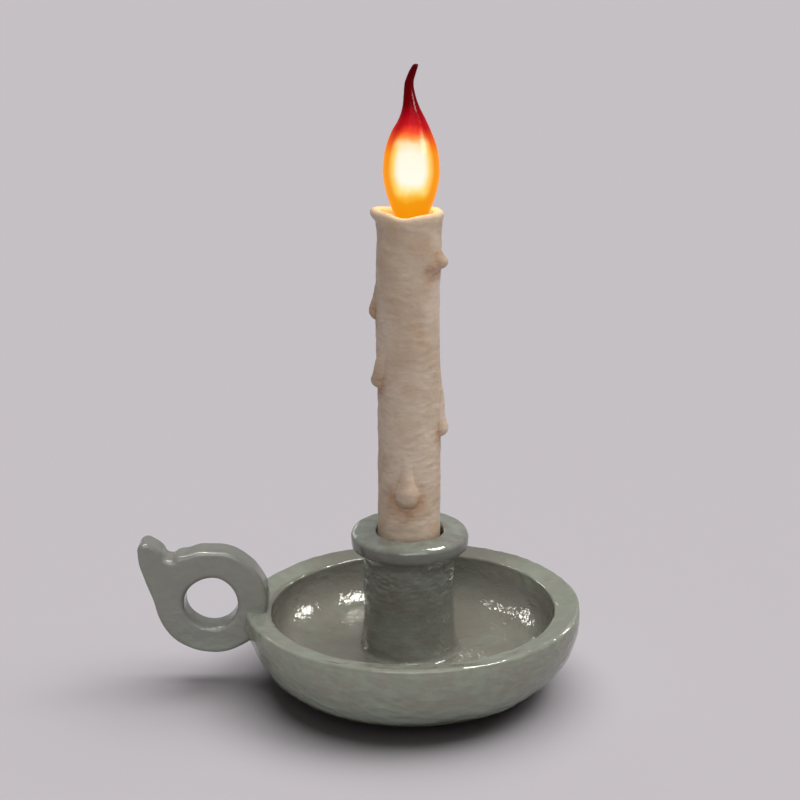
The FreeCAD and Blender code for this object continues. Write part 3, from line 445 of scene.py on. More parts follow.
def gloss_paint(name, thin, full, thick, bare):
    """Grey-green gloss paint laid on by brush: thin and brownish in hollows, thick on edges.

    It also carries painted shade on the dish's steep inner wall, on the back of the dish's rim
    and on the cup lip's outer face, and a painted reflection of the floor, lighter and greener,
    low on the outside. Its zones go by height and by distance from the axis, in metres.
    """
    paint = Finish(name, roughness=0.045)
    patches = paint.between(paint.grain(24, 3), 0.38, 0.66)
    streaks = paint.between(paint.grain(8, 4, (1, 1, 1.7)), 0.38, 0.68)
    colour = paint.blend(patches, shade(*thin), shade(*full))
    colour = paint.blend(streaks * 0.5, colour, shade(*thick))
    aside = paint.node("VectorMath", {"operation": "MULTIPLY"}, {0: paint.place, 1: (1, 1, 0)})
    from_axis = paint.node("VectorMath", {"operation": "LENGTH"}, {0: aside}, output="Value")
    height = paint.node("SeparateXYZ", inputs={0: paint.place}, output="Z")
    hollow = paint.between(from_axis, 0.0945, 0.0905) * paint.between(height, 0.096, 0.088)
    smooth = (1 - hollow) * paint.between(height, 0.0495, 0.053)
    colour = paint.blend(hollow * (bare - patches * 0.3), colour, shade(112, 108, 98))
    # Painted shade: the steep part of the dish's inner wall is darker
    steep_wall_shade = hollow * paint.between(height, 0.027, 0.044)
    steep_wall_shade = steep_wall_shade * paint.between(from_axis, 0.045, 0.06)
    colour = paint.blend(steep_wall_shade * 0.6, colour, shade(96, 94, 86))
    # Painted reflection of the pale floor: lighter and greener low on the outside
    low = (1 - hollow) * paint.between(height, 0.036, 0.012)
    colour = paint.blend(low * 0.8, colour, shade(143, 151, 140))
    depth = paint.node("SeparateXYZ", inputs={0: paint.place}, output="Y")
    # Painted shade: the top of the dish's rim at the back is darker
    back_rim_shade = (1 - hollow) * paint.between(depth, 0.05, 0.09) * paint.between(height, 0.07, 0.06)
    colour = paint.blend(back_rim_shade * 0.8, colour, shade(104, 102, 92))
    # Painted shade: the outer face of the cup's lip is darker than its top
    lip_face_shade = paint.between(height, 0.1035, 0.1005) * paint.between(height, 0.09, 0.094)
    lip_face_shade = lip_face_shade * paint.between(from_axis, 0.034, 0.0365)
    lip_face_shade = lip_face_shade * paint.between(from_axis, 0.06, 0.05)
    colour = paint.blend(lip_face_shade * 0.7, colour, shade(98, 97, 91))
    ripples = paint.bump(paint.grain(9, 3, (1, 1, 1.6)) * (1 - smooth * 0.5), 0.55)
    brush_marks = paint.grain(3.0, 2.5, (1, 1, 1.5)) * (1 - smooth * 0.6)
    paint.wear(base_color=colour, normal=paint.bump(brush_marks, 0.36, ripples))
    return paint


dish_paint = gloss_paint("dish_paint", (124, 122, 111), (122, 127, 114), (134, 141, 125), 0.9)
dish_paint.coat(dish)
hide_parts("tray")
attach(dish, "root")

# Finger ring with its thumb horn: cast flat, with soft edges, and bonded into the dish's
# rim. It is brushed with the same gloss paint, a little greyer and more even.
RING_CELL = 0.7
HORN_X = -157.0
HORN_RISE = 3.4
NOTCH_X = -144.5
NOTCH_FALL = 2.0
RING_RISE = 1.8
RING_FALL = 1.6
HORN_PULL = 1.6


def cast_copy(node, name, cell):
    """A copy of a solid as an even, slightly softened mesh that can be shaped by hand."""
    rough = bpy.data.objects.new(name, nodes[node].data.copy())
    bpy.context.scene.collection.objects.link(rough)
    remesh = rough.modifiers.new("even_cells", "REMESH")
    remesh.mode = "VOXEL"
    remesh.voxel_size = cell * MM
    soften = rough.modifiers.new("soften", "SMOOTH")
    soften.iterations = 6
    even = bpy.data.meshes.new_from_object(
        rough.evaluated_get(bpy.context.evaluated_depsgraph_get())
    )
    bpy.data.objects.remove(rough)
    even.name = name
    piece = bpy.data.objects.new(name, even)
    bpy.context.scene.collection.objects.link(piece)
    tidy_mesh(piece, 180)
    return piece


finger_ring = cast_copy("finger_ring", "ring_cast", RING_CELL)
hand_shaped(
    finger_ring,
    lambda place: 0.6 * unevenness(place, 26) + 0.3 * unevenness(place, 10, 5),
)
for corner in finger_ring.data.vertices:
    place = corner.co / MM
    upper = soft_step(place.z, 66, 88)
    lift = RING_RISE * soft_step(-place.x, 104, 124) - RING_FALL * soft_step(place.x, -103, -94)
    lift += HORN_RISE * math.exp(-(((place.x - HORN_X) / 6.0) ** 2))
    lift -= NOTCH_FALL * math.exp(-(((place.x - NOTCH_X) / 5.5) ** 2))
    pull = HORN_PULL * soft_step(-place.x, 128, 152) * (1 - 0.7 * soft_step(place.z, 80, 92))
    corner.co.x += (DISH_OFF_CENTRE - pull) * MM
    corner.co.z += lift * upper * MM
ring_paint = gloss_paint("ring_paint", (118, 116, 108), (115, 116, 109), (122, 126, 117), 0)
ring_paint.coat(finger_ring)
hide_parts("finger_ring")
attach(finger_ring, "root")

# Candle cup: cast by itself, clamped to the dish by the threaded tube, with a thick lip.
# Below the lip the clay model was pressed into wrinkles, which the casting keeps.
CUP_BASE = 22.5
CUP_TOP = 105.0
CUP_BASE_RADIUS = 32.5
CUP_NECK_RADIUS = 29.3
CUP_NECK_TOP = 85.0
CUP_LIP_RADIUS = 38.2
CUP_LIP_UNDER = 92.8
CUP_MOUTH_RADIUS = 21.5
CUP_SOCKET_RADIUS = 20.2
CUP_SOCKET_FLOOR = 44.0
CUP_OFF_CENTRE = -1.2
LIP_SHIFT = 0.6
LIP_RISE_BEHIND = 2.2
FOLD_DEPTH = 0.95

cup_outline = (
    straight((CUP_BASE_RADIUS - 1, CUP_BASE), (CUP_BASE_RADIUS, CUP_BASE + 1.4), 3)
    + bend((CUP_BASE_RADIUS + 2.2, CUP_BASE + 5.6), (3.4, 4.2), -110, -176, 8)
    + bend(
        (CUP_BASE_RADIUS + 60, CUP_BASE + 47),
        (60 + CUP_BASE_RADIUS - CUP_NECK_RADIUS, 170),
        193.5,
        180,
        44,
    )
    + straight((CUP_NECK_RADIUS, CUP_BASE + 48), (CUP_NECK_RADIUS, CUP_NECK_TOP), 18)
    + bend((CUP_NECK_RADIUS + 7.8, CUP_NECK_TOP + 0.4), (7.8, 7.6), 176, 108, 12)
    + bend((CUP_LIP_RADIUS - 3.8, CUP_LIP_UNDER + 3.6), (3.6, 3.4), -75, -8, 9)
    + bend((CUP_LIP_RADIUS - 5.0, CUP_TOP - 4.6), (5.0, 3.8), 5, 76, 12)
    + straight((CUP_LIP_RADIUS - 4.2, CUP_TOP - 0.8), (CUP_MOUTH_RADIUS + 2.2, CUP_TOP - 0.1), 12)
    + bend((CUP_MOUTH_RADIUS + 2.0, CUP_TOP - 2.1), (2.0, 2.0), 92, 180, 8)
    + straight((CUP_MOUTH_RADIUS, CUP_TOP - 3), (CUP_MOUTH_RADIUS, CUP_TOP - 25), 14)
    + [
        (CUP_SOCKET_RADIUS, CUP_TOP - 27.4),
        (CUP_SOCKET_RADIUS, CUP_SOCKET_FLOOR),
        (STEM_HOLE_RADIUS, CUP_SOCKET_FLOOR),
        (STEM_HOLE_RADIUS, CUP_BASE),
    ]
)
cup = piece_from("cup_cast", *turned_grid(cup_outline, 300))


def cup_swell(place):
    """Soft unevenness, with wavy folds pressed in under the lip."""
    radius = math.hypot(place.x, place.y)
    if radius < CUP_MOUTH_RADIUS + 0.5:
        return 0.0
    give = soft_step(place.z, CUP_BASE + 1, CUP_BASE + 10)
    folds = soft_step(place.z, 58, 72) * (1 - soft_step(place.z, 80, 88))
    crumpled = abs(unevenness((place.x, place.y, place.z * 2.8), 7, 2))
    smooth = 0.5 * unevenness(place, 24, 4) + 0.3 * unevenness(place, 9, 9)
    return give * (smooth + FOLD_DEPTH * folds * (0.22 - crumpled))


hand_shaped(cup, cup_swell)
for corner in cup.data.vertices:
    shift = soft_step(corner.co.z / MM, CUP_BASE, DISH_FLOOR + 8)
    shift *= soft_step(corner.co.xy.length / MM, CUP_SOCKET_RADIUS, CUP_MOUTH_RADIUS)
    at_lip = soft_step(corner.co.z / MM, 88, 96)
    corner.co.x += (CUP_OFF_CENTRE + LIP_SHIFT * at_lip) * shift * MM
    corner.co.z += LIP_RISE_BEHIND * at_lip * soft_step(corner.co.y / MM, -12, 30) * MM
cup_paint = gloss_paint("cup_paint", (116, 115, 105), (122, 127, 117), (142, 150, 139), 0.6)
cup_paint.coat(cup)
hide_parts("candle_cup")
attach(cup, "root")

# Stem tube with its nuts and washers: M10 x 1 steel tube, zinc plated, which clamps the
# cup to the dish and carries the lampholder. The strap, screws and coupler are plated too.


def plated_steel(name, colour, turned_marks):
    """Bright zinc on steel: faint cloudy patches, and fine marks from turning or rolling."""
    plate = Finish(name, metallic=1.0)
    clouds = plate.grain(4, 4)
    scratches = plate.grain(0.7, 3, turned_marks)
    plate.wear(
        base_color=plate.blend(clouds, shade(*colour), shade(*[part * 0.86 for part in colour])),
        roughness=0.24 + clouds * 0.16,
        normal=plate.bump(scratches, 0.02),
    )
    return plate


turned_steel = plated_steel("turned_steel", (188, 190, 186), (1, 1, 9))
turned_steel.coat(
    nodes["stem_tube"],
    nodes["stem_nuts"],
    nodes["stem_washers"],
    nodes["lampholder_coupler"],
)

# Battery under the dish's floor: flat cells in blue shrink film with wrinkled ends, held
# up by a strap of rolled steel on two pan-head screws.
battery_film = Finish("battery_film", roughness=0.28, coat_weight=0.4)
creases = battery_film.grain(5, 4, (1, 3, 1))
battery_film.wear(
    base_color=battery_film.blend(creases, shade(38, 74, 138), shade(58, 98, 168)),
    normal=battery_film.bump(creases, 0.25),
)
battery_film.coat(nodes["battery_pack"])
rolled_steel = plated_steel("rolled_steel", (178, 180, 178), (9, 1, 1))
rolled_steel.coat(nodes["battery_strap"], nodes["strap_screws"], nodes["board_screws"])

# Circuit board: green glass laminate with copper tracks under the mask, two chips and a
# choke on its lower side, and the charging socket and push switch on its tongue.
board_finish = Finish("board_mask", roughness=0.32, coat_weight=0.3)
tracks = board_finish.node(
    "TexBrick",
    {"offset": 0.5},
    {
        "Vector": board_finish.place,
        "Color1": (0, 0, 0),
        "Color2": (0, 0, 0),
        "Mortar": (1, 1, 1),
        "Scale": 90.0,
        "Mortar Size": 0.035,
    },
)
board_finish.wear(
    base_color=board_finish.blend(
        tracks,
        board_finish.blend(board_finish.grain(8), shade(12, 78, 42), shade(16, 92, 50)),
        shade(44, 126, 62),
    ),
    normal=board_finish.bump(tracks, 0.05),
)
board_finish.coat(nodes["circuit_board"])

socket_shell = plated_steel("socket_shell", (196, 196, 194), (1, 9, 1))
socket_shell.coat(nodes["usb_socket"])

# Moulded pieces: the push switch on the board, the lampholder's body and the disc that
# centres the candle on the tube are injection moulded in black plastic.


def moulded_plastic(name, colour, sheen_roughness):
    """Black moulded plastic with the fine spark-eroded texture of its mould."""
    plastic = Finish(name, roughness=sheen_roughness)
    texture = plastic.grain(0.35, 2)
    plastic.wear(
        base_color=plastic.blend(
            plastic.grain(7, 3), shade(*colour), shade(*[part * 1.25 for part in colour])
        ),
        normal=plastic.bump(texture, 0.03),
    )
    return plastic


black_plastic = moulded_plastic("black_plastic", (30, 30, 31), 0.46)
black_plastic.coat(
    nodes["switch_body"],
    nodes["switch_plunger"],
    nodes["lampholder_body"],
    nodes["candle_centring_disc"],
)

# Push button: a moulded cap in the recess at the back, brushed over with the dish's paint
# so that it hardly shows.
dish_paint.coat(nodes["button_cap"])

# Wires: two up the tube to the lampholder and two from the battery, in soft red insulation.
insulation = Finish("insulation", roughness=0.5)
insulation.wear(
    base_color=insulation.blend(insulation.grain(6), shade(150, 26, 22), shade(176, 36, 30)),
    normal=insulation.bump(insulation.grain(0.8), 0.03),
)
insulation.coat(nodes["lead_wires"])

# Base cover: a powder coated steel disc that closes the foot, with three countersunk
# screws, under a pad of foamed rubber that keeps the lamp from sliding.
powder_coat = Finish("powder_coat", roughness=0.5)
orange_peel = powder_coat.grain(0.9, 2)
powder_coat.wear(
    base_color=powder_coat.blend(powder_coat.grain(12, 3), shade(84, 86, 82), shade(96, 98, 93)),
    normal=powder_coat.bump(orange_peel, 0.06),
)
powder_coat.coat(nodes["base_cover"])
foamed_rubber = Finish("foamed_rubber", roughness=0.85)
pores = foamed_rubber.node(
    "TexVoronoi", inputs={"Vector": foamed_rubber.place, "Scale": 1 / (0.9 * MM)}
)
foamed_rubber.wear(
    base_color=foamed_rubber.blend(
        foamed_rubber.grain(9, 3), shade(44, 44, 45), shade(58, 58, 58)
    ),
    normal=foamed_rubber.bump(pores, 0.12),
)
foamed_rubber.coat(nodes["base_pad"])
turned_steel.coat(nodes["cover_screws"])

# Candle sleeve: a resin tube cast and painted to look like wax, bonded into the cup. Its
# rim is uneven and pulled out to the left, wax has run down it in drops, and a brown wash
# was wiped on so that it stays in the hollows. The darkening in the hollows and round the
# drops is partly that wash and partly painted shade, and near the top the wax is painted
# lighter and warmer as a painted glow from the bulb.
CANDLE_BOTTOM = 44.0
CANDLE_RADIUS = 20.0
CANDLE_BORE = 17.6
CANDLE_X = -1.1
CANDLE_BOW = -1.1
CANDLE_BOW_HEIGHT = 246.0
CANDLE_BOW_SPAN = 36.0
FLARE_START = 293.0
LIP_ROLL = 2.9
LIP_LEVEL = 310.2
WRINKLE_DEPTH = 0.42

# Each drop: angle from +X, height of its middle, width, height and how far it stands out,
# then how far up its run reaches, the run's width and thickness, and a drift to the side
WAX_DROPS = (
    (-38, 285.5, 18.0, 17.0, 1.7, 9, 15.0, 1.0, 0),
    (-20, 282.0, 10.5, 9.8, 4.6, 12, 9.0, 0.6, -3),
    (-37, 278.6, 8.0, 7.0, 1.5, 8, 8.0, 0.6, 2),
    (172, 249.5, 9.5, 12.0, 4.4, 14, 9.0, 1.8, 2),
    (196, 206.5, 11.0, 10.0, 4.6, 19, 13.0, 2.8, 6),
    (-6, 174.5, 10.0, 11.0, 5.0, 32, 11.0, 2.6, 3),
    (-94, 134.2, 14.0, 15.5, 5.0, 19, 9.5, 2.1, 0),
    (78, 262.0, 11.0, 12.0, 4.0, 26, 12.0, 2.2, 4),
    (112, 160.0, 12.0, 13.0, 4.2, 30, 12.0, 2.4, -4),
)


def candle_middle(height):
    """The stick is slightly bowed and stands a little off the dish's axis."""
    lift = (height - CANDLE_BOW_HEIGHT) / CANDLE_BOW_SPAN
    in_cup = soft_step(height, CUP_TOP - 25, CUP_TOP - 2)
    return in_cup * (CANDLE_X + CANDLE_BOW * math.exp(-lift * lift))


def side_gap(turn, angle):
    """The way round the candle from one angle to another, in millimetres."""
    gap = (math.degrees(turn) - angle + 180) % 360 - 180
    return math.radians(gap) * CANDLE_RADIUS


def drops_at(turn, height):
    """How far the wax runs stand out at a place on the candle."""
    total = 0.0
    for angle, middle, width, tall, out, run, run_width, thick, drift in WAX_DROPS:
        up = height - middle
        if not -tall / 2 < up < run + tall / 2:
            continue
        share_up = min(1.0, max(0.0, up / run))
        if up < 0:
            size = math.sqrt(1 - (2 * up / tall) ** 2)
            half = width / 2 * (0.6 + 0.4 * size)
            stands = out * size
        else:
            knob = math.exp(-((up / (0.45 * tall)) ** 2))
            half = (width * knob + run_width * (1 - 0.4 * share_up) * (1 - knob)) / 2
            stands = out * knob + thick * (1 - knob)
            stands *= 1 - soft_step(up, run * 0.4, run + tall / 2)
        across = (side_gap(turn, angle) - drift * share_up) / (1.22 * half)
        total += stands * max(0.0, 1 - across * across) ** 1.25
    return total


def wash_and_shade_at(turn, height):
    """How much of the brown wash has stayed round the edges of the drops, with painted shade there
    too.
    """
    total = 0.0
    for angle, middle, width, tall, *_ in WAX_DROPS[1:]:
        up = (height - middle + 0.1 * tall) / (tall * 0.62)
        aside = (side_gap(turn, angle) + 0.1 * width) / (width * 0.62)
        edge = math.hypot(up, aside) - 1.0
        if -0.8 < edge < 1.6:
            total = max(total, math.exp(-(((edge - 0.1) / 0.6) ** 2)) * (1 - 0.5 * max(0.0, up)))
    return min(1.0, total)


# How the rim rises and falls and how it is pulled out: by how much, at which angle from +X
# and how widely. The beak is at the left and the dip beside it in front.
LIP_RISES = ((1.9, 184, 26), (-2.3, 256, 30), (-0.9, 300, 22), (0.9, 60, 40))
LIP_PULLS = ((3.6, 186, 32), (0.9, 350, 30))


def lip_wave(degrees, waves):
    return sum(
        amount * math.exp(-(((degrees - angle) / width) ** 2)) for amount, angle, width in waves
    )


def lip_height(turn):
    """The rim's height round the candle."""
    degrees = math.degrees(turn) % 360
    ripple = 0.35 * math.sin(math.radians(degrees * 5 + 40))
    return LIP_LEVEL + lip_wave(degrees, LIP_RISES) + ripple


def lip_flare(turn):
    """How far the rim is pulled out round the candle."""
    return 0.5 + lip_wave(math.degrees(turn) % 360, LIP_PULLS)


def wax_surface(turn, share):
    """A corner of the candle's outside, from its foot at 0 to its lip at 1."""
    top = lip_height(turn)
    height = CANDLE_BOTTOM + (top - CANDLE_BOTTOM) * share
    x = CANDLE_RADIUS * math.cos(turn)
    y = CANDLE_RADIUS * math.sin(turn)
    spot = (x, y, height)
    radius = CANDLE_RADIUS + 0.3 * unevenness(spot, 33, 6) + 0.3 * unevenness(spot, 12, 1)
    wrinkle = unevenness((x, y, height * 2.1 + 2 * unevenness(spot, 9, 8)), 8.0, 5)
    radius += WRINKLE_DEPTH * wrinkle * soft_step(unevenness(spot, 16, 13), -0.5, 0.3)
    radius += 0.12 * unevenness((x, y, height * 2.0), 3.2, 3)
    radius += drops_at(turn, height)
    rise = max(0.0, (height - FLARE_START) / (top - FLARE_START))
    radius += lip_flare(turn) * (0.35 * rise**1.6 + 0.65 * soft_step(top - height, 7.0, 0.4))
    return radius, height


CANDLE_AROUND = 230
CANDLE_ROWS = 384
LIP_STEPS = 10
LIP_RISE_SHARE = 0.8
MOUTH_ROWS = 26


def round_candle(radius, turn, height, centred=0.0):
    """A corner at a distance from the candle's own middle, or nearer to the lamp's axis."""
    middle = candle_middle(height) * (1 - centred)
    return (middle + radius * math.cos(turn), radius * math.sin(turn), height)


corners = []
for row in range(CANDLE_ROWS + 1):
    for step in range(CANDLE_AROUND):
        turn = 2 * math.pi * step / CANDLE_AROUND
        radius, height = wax_surface(turn, row / CANDLE_ROWS)
        corners.append(round_candle(radius, turn, height))
for row in range(1, LIP_STEPS):
    for step in range(CANDLE_AROUND):
        turn = 2 * math.pi * step / CANDLE_AROUND
        radius, height = wax_surface(turn, 1)
        angle = math.pi * row / LIP_STEPS
        radius -= LIP_ROLL * (1 - math.cos(angle))
        height += LIP_ROLL * LIP_RISE_SHARE * math.sin(angle)
        corners.append(round_candle(radius, turn, height))
for row in range(MOUTH_ROWS + 1):
    for step in range(CANDLE_AROUND):
        turn = 2 * math.pi * step / CANDLE_AROUND
        outer, top = wax_surface(turn, 1)
        share = soft_step(row / MOUTH_ROWS, 0, 1)
        radius = (outer - 2 * LIP_ROLL) * (1 - share) + CANDLE_BORE * share
        height = top + (FLARE_START - 4 - top) * row / MOUTH_ROWS
        corners.append(round_candle(radius, turn, height, share))
for step in range(CANDLE_AROUND):
    turn = 2 * math.pi * step / CANDLE_AROUND
    corners.append(round_candle(CANDLE_BORE, turn, CANDLE_BOTTOM))
rows = len(corners) // CANDLE_AROUND
faces = [
    (
        row * CANDLE_AROUND + step,
        row * CANDLE_AROUND + (step + 1) % CANDLE_AROUND,
        (row + 1) % rows * CANDLE_AROUND + (step + 1) % CANDLE_AROUND,
        (row + 1) % rows * CANDLE_AROUND + step,
    )
    for row in range(rows)
    for step in range(CANDLE_AROUND)
]
candle = piece_from("candle_wax", corners, faces, 60)
# Brown wash and painted shade round the drops, kept on each corner of the mesh
drop_wash_and_shade_layer = candle.data.attributes.new("wash", "FLOAT", "POINT")
for number, corner in enumerate(candle.data.vertices):
    place = corner.co / MM
    turn = math.atan2(place.y, place.x - candle_middle(place.z))
    drop_wash_and_shade_layer.data[number].value = wash_and_shade_at(turn, place.z)

wax = Finish("painted_wax", roughness=0.52, specular_ior_level=0.4)
wax_height = wax.node("SeparateXYZ", inputs={0: wax.place}, output="Z")
clouds = wax.between(wax.grain(30, 3), 0.35, 0.65)
veins = wax.between(wax.grain(6, 4, (1, 1, 2.2)), 0.42, 0.75)
# Brown wash and painted shade: the wax is darker and browner where its surface is hollow
hollows = wax.node("NewGeometry", output="Pointiness")
wash = wax.between(hollows, 0.5, 0.44)
stains = wax.between(wax.grain(19, 3), 0.5, 0.7)
wax_colour = wax.blend(clouds, shade(186, 165, 143), shade(202, 184, 165))
wax_colour = wax.blend(veins * 0.35, wax_colour, shade(172, 149, 124))
wax_colour = wax.blend(stains * 0.3, wax_colour, shade(176, 140, 98))
wax_colour = wax.blend(wash * 0.6, wax_colour, shade(140, 103, 66))
# Browner round the drops: partly wash, partly painted shade under and beside them
drop_wash_and_shade = wax.node("Attribute", {"attribute_name": "wash"}, output="Fac")
wax_colour = wax.blend(drop_wash_and_shade * (0.4 + veins * 0.4), wax_colour, shade(160, 114, 74))
# Painted glow: the wax is lighter and warmer near the top, as if lit by the bulb
lip_painted_glow = wax.between(wax_height, 0.302, 0.313)
wax_colour = wax.blend(lip_painted_glow * 0.5, wax_colour, shade(232, 206, 172))
fine_wrinkles = wax.bump(wax.grain(3.8, 3, (1, 1, 1.9)), 0.3)
wax.wear(base_color=wax_colour, normal=wax.bump(wax.grain(0.8, 2), 0.05, fine_wrinkles))
wax.coat(candle)
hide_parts("candle_sleeve")
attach(candle, "root")

# Lampholder: black moulded body (coated above), with a drawn brass sleeve for the bulb's
# thread and a sprung brass tongue for its tip.
brass = Finish("contact_brass", metallic=1.0)
tarnish = brass.grain(3, 4)
brass.wear(
    base_color=brass.blend(tarnish, shade(214, 176, 100), shade(188, 146, 76)),
    roughness=0.22 + tarnish * 0.2,
    normal=brass.bump(brass.grain(0.5, 2, (1, 1, 6)), 0.02),
)
brass.coat(nodes["lampholder_thread_shell"], nodes["lampholder_centre_contact"])

# Bulb cap: solder tip, black glass ring and plated cap, then the clear glass stem and the
# four lit filaments inside the flame.
solder = plated_steel("solder", (176, 176, 180), (1, 1, 1))
solder.coat(nodes["bulb_tip_contact"], nodes["bulb_screw_shell"])
black_glass = Finish("black_glass", roughness=0.12, coat_weight=0.5)
black_glass.wear(
    base_color=black_glass.blend(black_glass.grain(4, 3), shade(18, 18, 22), shade(30, 29, 34)),
    normal=black_glass.bump(black_glass.grain(2.5), 0.05),
)
black_glass.coat(nodes["bulb_insulator"])
clear_glass = Finish("clear_glass", roughness=0.06, transmission_weight=0.9, ior=1.5)
clear_glass.wear(
    base_color=clear_glass.blend(clear_glass.grain(5), shade(236, 240, 238), shade(250, 250, 248)),
    normal=clear_glass.bump(clear_glass.grain(3), 0.04),
)
clear_glass.coat(nodes["bulb_stem"])
lit_filament = Finish("lit_filament", roughness=0.5, emission_strength=6.0)
phosphor = lit_filament.grain(1.2, 2)
lit_filament.wear(
    base_color=lit_filament.blend(phosphor, shade(255, 214, 120), shade(255, 232, 160)),
    emission_color=lit_filament.blend(phosphor, shade(255, 226, 160), shade(255, 240, 200)),
)
lit_filament.coat(nodes["led_filaments"])

# Flame glass: blown thin and drawn out into a bent tip, frosted inside and sprayed orange
# below and red towards the tip. Lit, its middle is too bright for the colour to show.
# Each station is a height, a radius and the shift of the bent tip.
FLAME = (
    (297.5, 6.1, 0.0),
    (302.5, 6.4, 0.0),
    (307.9, 9.4, 0.0),
    (316.3, 13.2, 0.0),
    (323.8, 15.6, 0.0),
    (331.2, 17.1, 0.0),
    (337.0, 17.5, 0.0),
    (345.9, 16.7, 0.0),
    (353.2, 14.9, 0.0),
    (360.5, 12.0, 0.0),
    (367.8, 8.2, 0.4),
    (375.0, 5.2, -0.3),
    (382.2, 3.6, -1.2),
    (389.4, 2.7, -1.4),
    (395.8, 2.3, 0.6),
    (399.4, 1.8, 2.2),
)
FLAME_TOP = 400.6
FLAME_WALL = 0.8
FLAME_STEPS = 9
FLAME_AROUND = 96


def through(before, start, end, after, share):
    """A smooth curve through four values, between the middle two."""
    return 0.5 * (
        2 * start
        + (end - before) * share
        + (2 * before - 5 * start + 4 * end - after) * share**2
        + (3 * start - before - 3 * end + after) * share**3
    )


flame_line = []
for number in range(len(FLAME) - 1):
    nearby = [FLAME[min(max(number + offset, 0), len(FLAME) - 1)] for offset in (-1, 0, 1, 2)]
    for step in range(FLAME_STEPS):
        share = step / FLAME_STEPS
        flame_line.append([through(*values, share) for values in zip(*nearby)])
flame_line.append(list(FLAME[-1]))
tip_height, tip_radius, tip_shift = FLAME[-1]
for step in range(1, 5):
    angle = math.radians(90 * step / 5)
    flame_line.append(
        [
            tip_height + (FLAME_TOP - tip_height) * math.sin(angle),
            tip_radius * math.cos(angle),
            tip_shift + 0.5 * math.sin(angle),
        ]
    )
inner_line = [
    [height, radius - FLAME_WALL, shift]
    for height, radius, shift in reversed(flame_line)
    if radius > 3 * FLAME_WALL
]


def flame_rings(line):
    return [
        (
            shift + radius * math.cos(2 * math.pi * step / FLAME_AROUND),
            radius * math.sin(2 * math.pi * step / FLAME_AROUND),
            height,
        )
        for height, radius, shift in line
        for step in range(FLAME_AROUND)
    ]


def ring_faces(first, rows):
    return [
        (
            first + row * FLAME_AROUND + step,
            first + row * FLAME_AROUND + (step + 1) % FLAME_AROUND,
            first + (row + 1) * FLAME_AROUND + (step + 1) % FLAME_AROUND,
            first + (row + 1) * FLAME_AROUND + step,
        )
        for row in range(rows - 1)
        for step in range(FLAME_AROUND)
    ]


corners = flame_rings(flame_line) + flame_rings(inner_line)
inner_first = len(flame_line) * FLAME_AROUND
last = len(corners) - FLAME_AROUND
faces = ring_faces(0, len(flame_line)) + ring_faces(inner_first, len(inner_line))
faces.append(tuple(range(inner_first - FLAME_AROUND, inner_first)))
faces.append(tuple(range(inner_first, inner_first + FLAME_AROUND)))
for step in range(FLAME_AROUND):
    beside = (step + 1) % FLAME_AROUND
    faces.append((last + step, last + beside, beside, step))
flame = piece_from("flame_glass", corners, faces, 60)

glass = Finish("flame_glass", roughness=0.17, ior=1.12, emission_strength=1.0)
flame_height = glass.node("SeparateXYZ", inputs={0: glass.place}, output="Z")
GLOW_LOW = 0.300
GLOW_HIGH = 0.401
BELLY_HEIGHT = 0.338
glow = glass.node(
    "MapRange", inputs={0: flame_height, "From Min": GLOW_LOW, "From Max": GLOW_HIGH}
)
flicker = glass.grain(7, 2, (1, 1, 0.5))
tint = glass.node(
    "ValToRGB",
    {
        "stops": [
            (0.0, shade(50, 24, 2)),
            (0.45, shade(60, 26, 2)),
            (0.58, shade(110, 6, 8)),
            (0.70, shade(138, 1, 12)),
            (0.80, shade(118, 1, 5)),
            (1.0, shade(84, 1, 10)),
        ]
    },
    {0: glow + flicker * 0.04 - 0.02},
)
limb = glass.node(
    "ValToRGB",
    {
        "stops": [
            (0.0, shade(238, 142, 10)),
            (0.30, shade(246, 152, 14)),
            (0.47, shade(244, 144, 14)),
            (0.55, shade(226, 90, 18)),
            (0.62, shade(160, 20, 20)),
            (0.70, shade(96, 2, 12)),
            (0.76, (0, 0, 0)),
        ]
    },
    {0: glow + flicker * 0.05 - 0.025},
)
heat = glass.node(
    "ValToRGB",
    {
        "stops": [
            (0.0, shade(240, 144, 14)),
            (0.18, shade(242, 152, 14)),
            (0.225, shade(250, 186, 54)),
            (0.265, shade(255, 240, 170)),
            (0.305, shade(255, 253, 238)),
            (0.48, shade(255, 250, 228)),
            (0.535, shade(255, 234, 186)),
            (0.57, shade(250, 160, 76)),
            (0.605, shade(236, 76, 40)),
            (0.645, shade(180, 22, 30)),
            (0.70, shade(116, 4, 16)),
            (0.76, (0, 0, 0)),
        ]
    },
    {0: glow + flicker * 0.05 - 0.025},
)
edge_on = glass.node("LayerWeight", inputs={"Blend": 0.5}, output="Facing")
from_belly = (flame_height - BELLY_HEIGHT) * 50
off_middle = edge_on + from_belly * from_belly * 0.06
halo = glass.between(off_middle, 0.08, 0.26) * glass.between(glow, 0.58, 0.50)
halo = halo * glass.between(glow, 0.20, 0.27)
near_edge = glass.between(off_middle, 0.17, 0.46)
warm = glass.blend(halo * 0.9, heat, shade(255, 214, 92))
burning = glass.blend(near_edge, warm, limb)
rim_of_glass = glass.between(edge_on, 0.72, 0.96) * glass.between(glow, 0.70, 0.55)
burning = glass.blend(rim_of_glass * 0.6, burning, shade(228, 128, 22))
glass.wear(base_color=tint, emission_color=burning)
glass.coat(flame)
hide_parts("bulb_glass")
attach(flame, "bulb")
flame.visible_shadow = False

# The light that the lit core sheds on the candle's mouth
glow_data = bpy.data.lights.new("glow", "POINT")
glow_data.energy = 0.065
glow_data.color = shade(255, 204, 128)
glow_data.shadow_soft_size = 0.009
glow_light = bpy.data.objects.new("glow", glow_data)
glow_light.location = (0, 0, 0.322)
bpy.context.scene.collection.objects.link(glow_light)

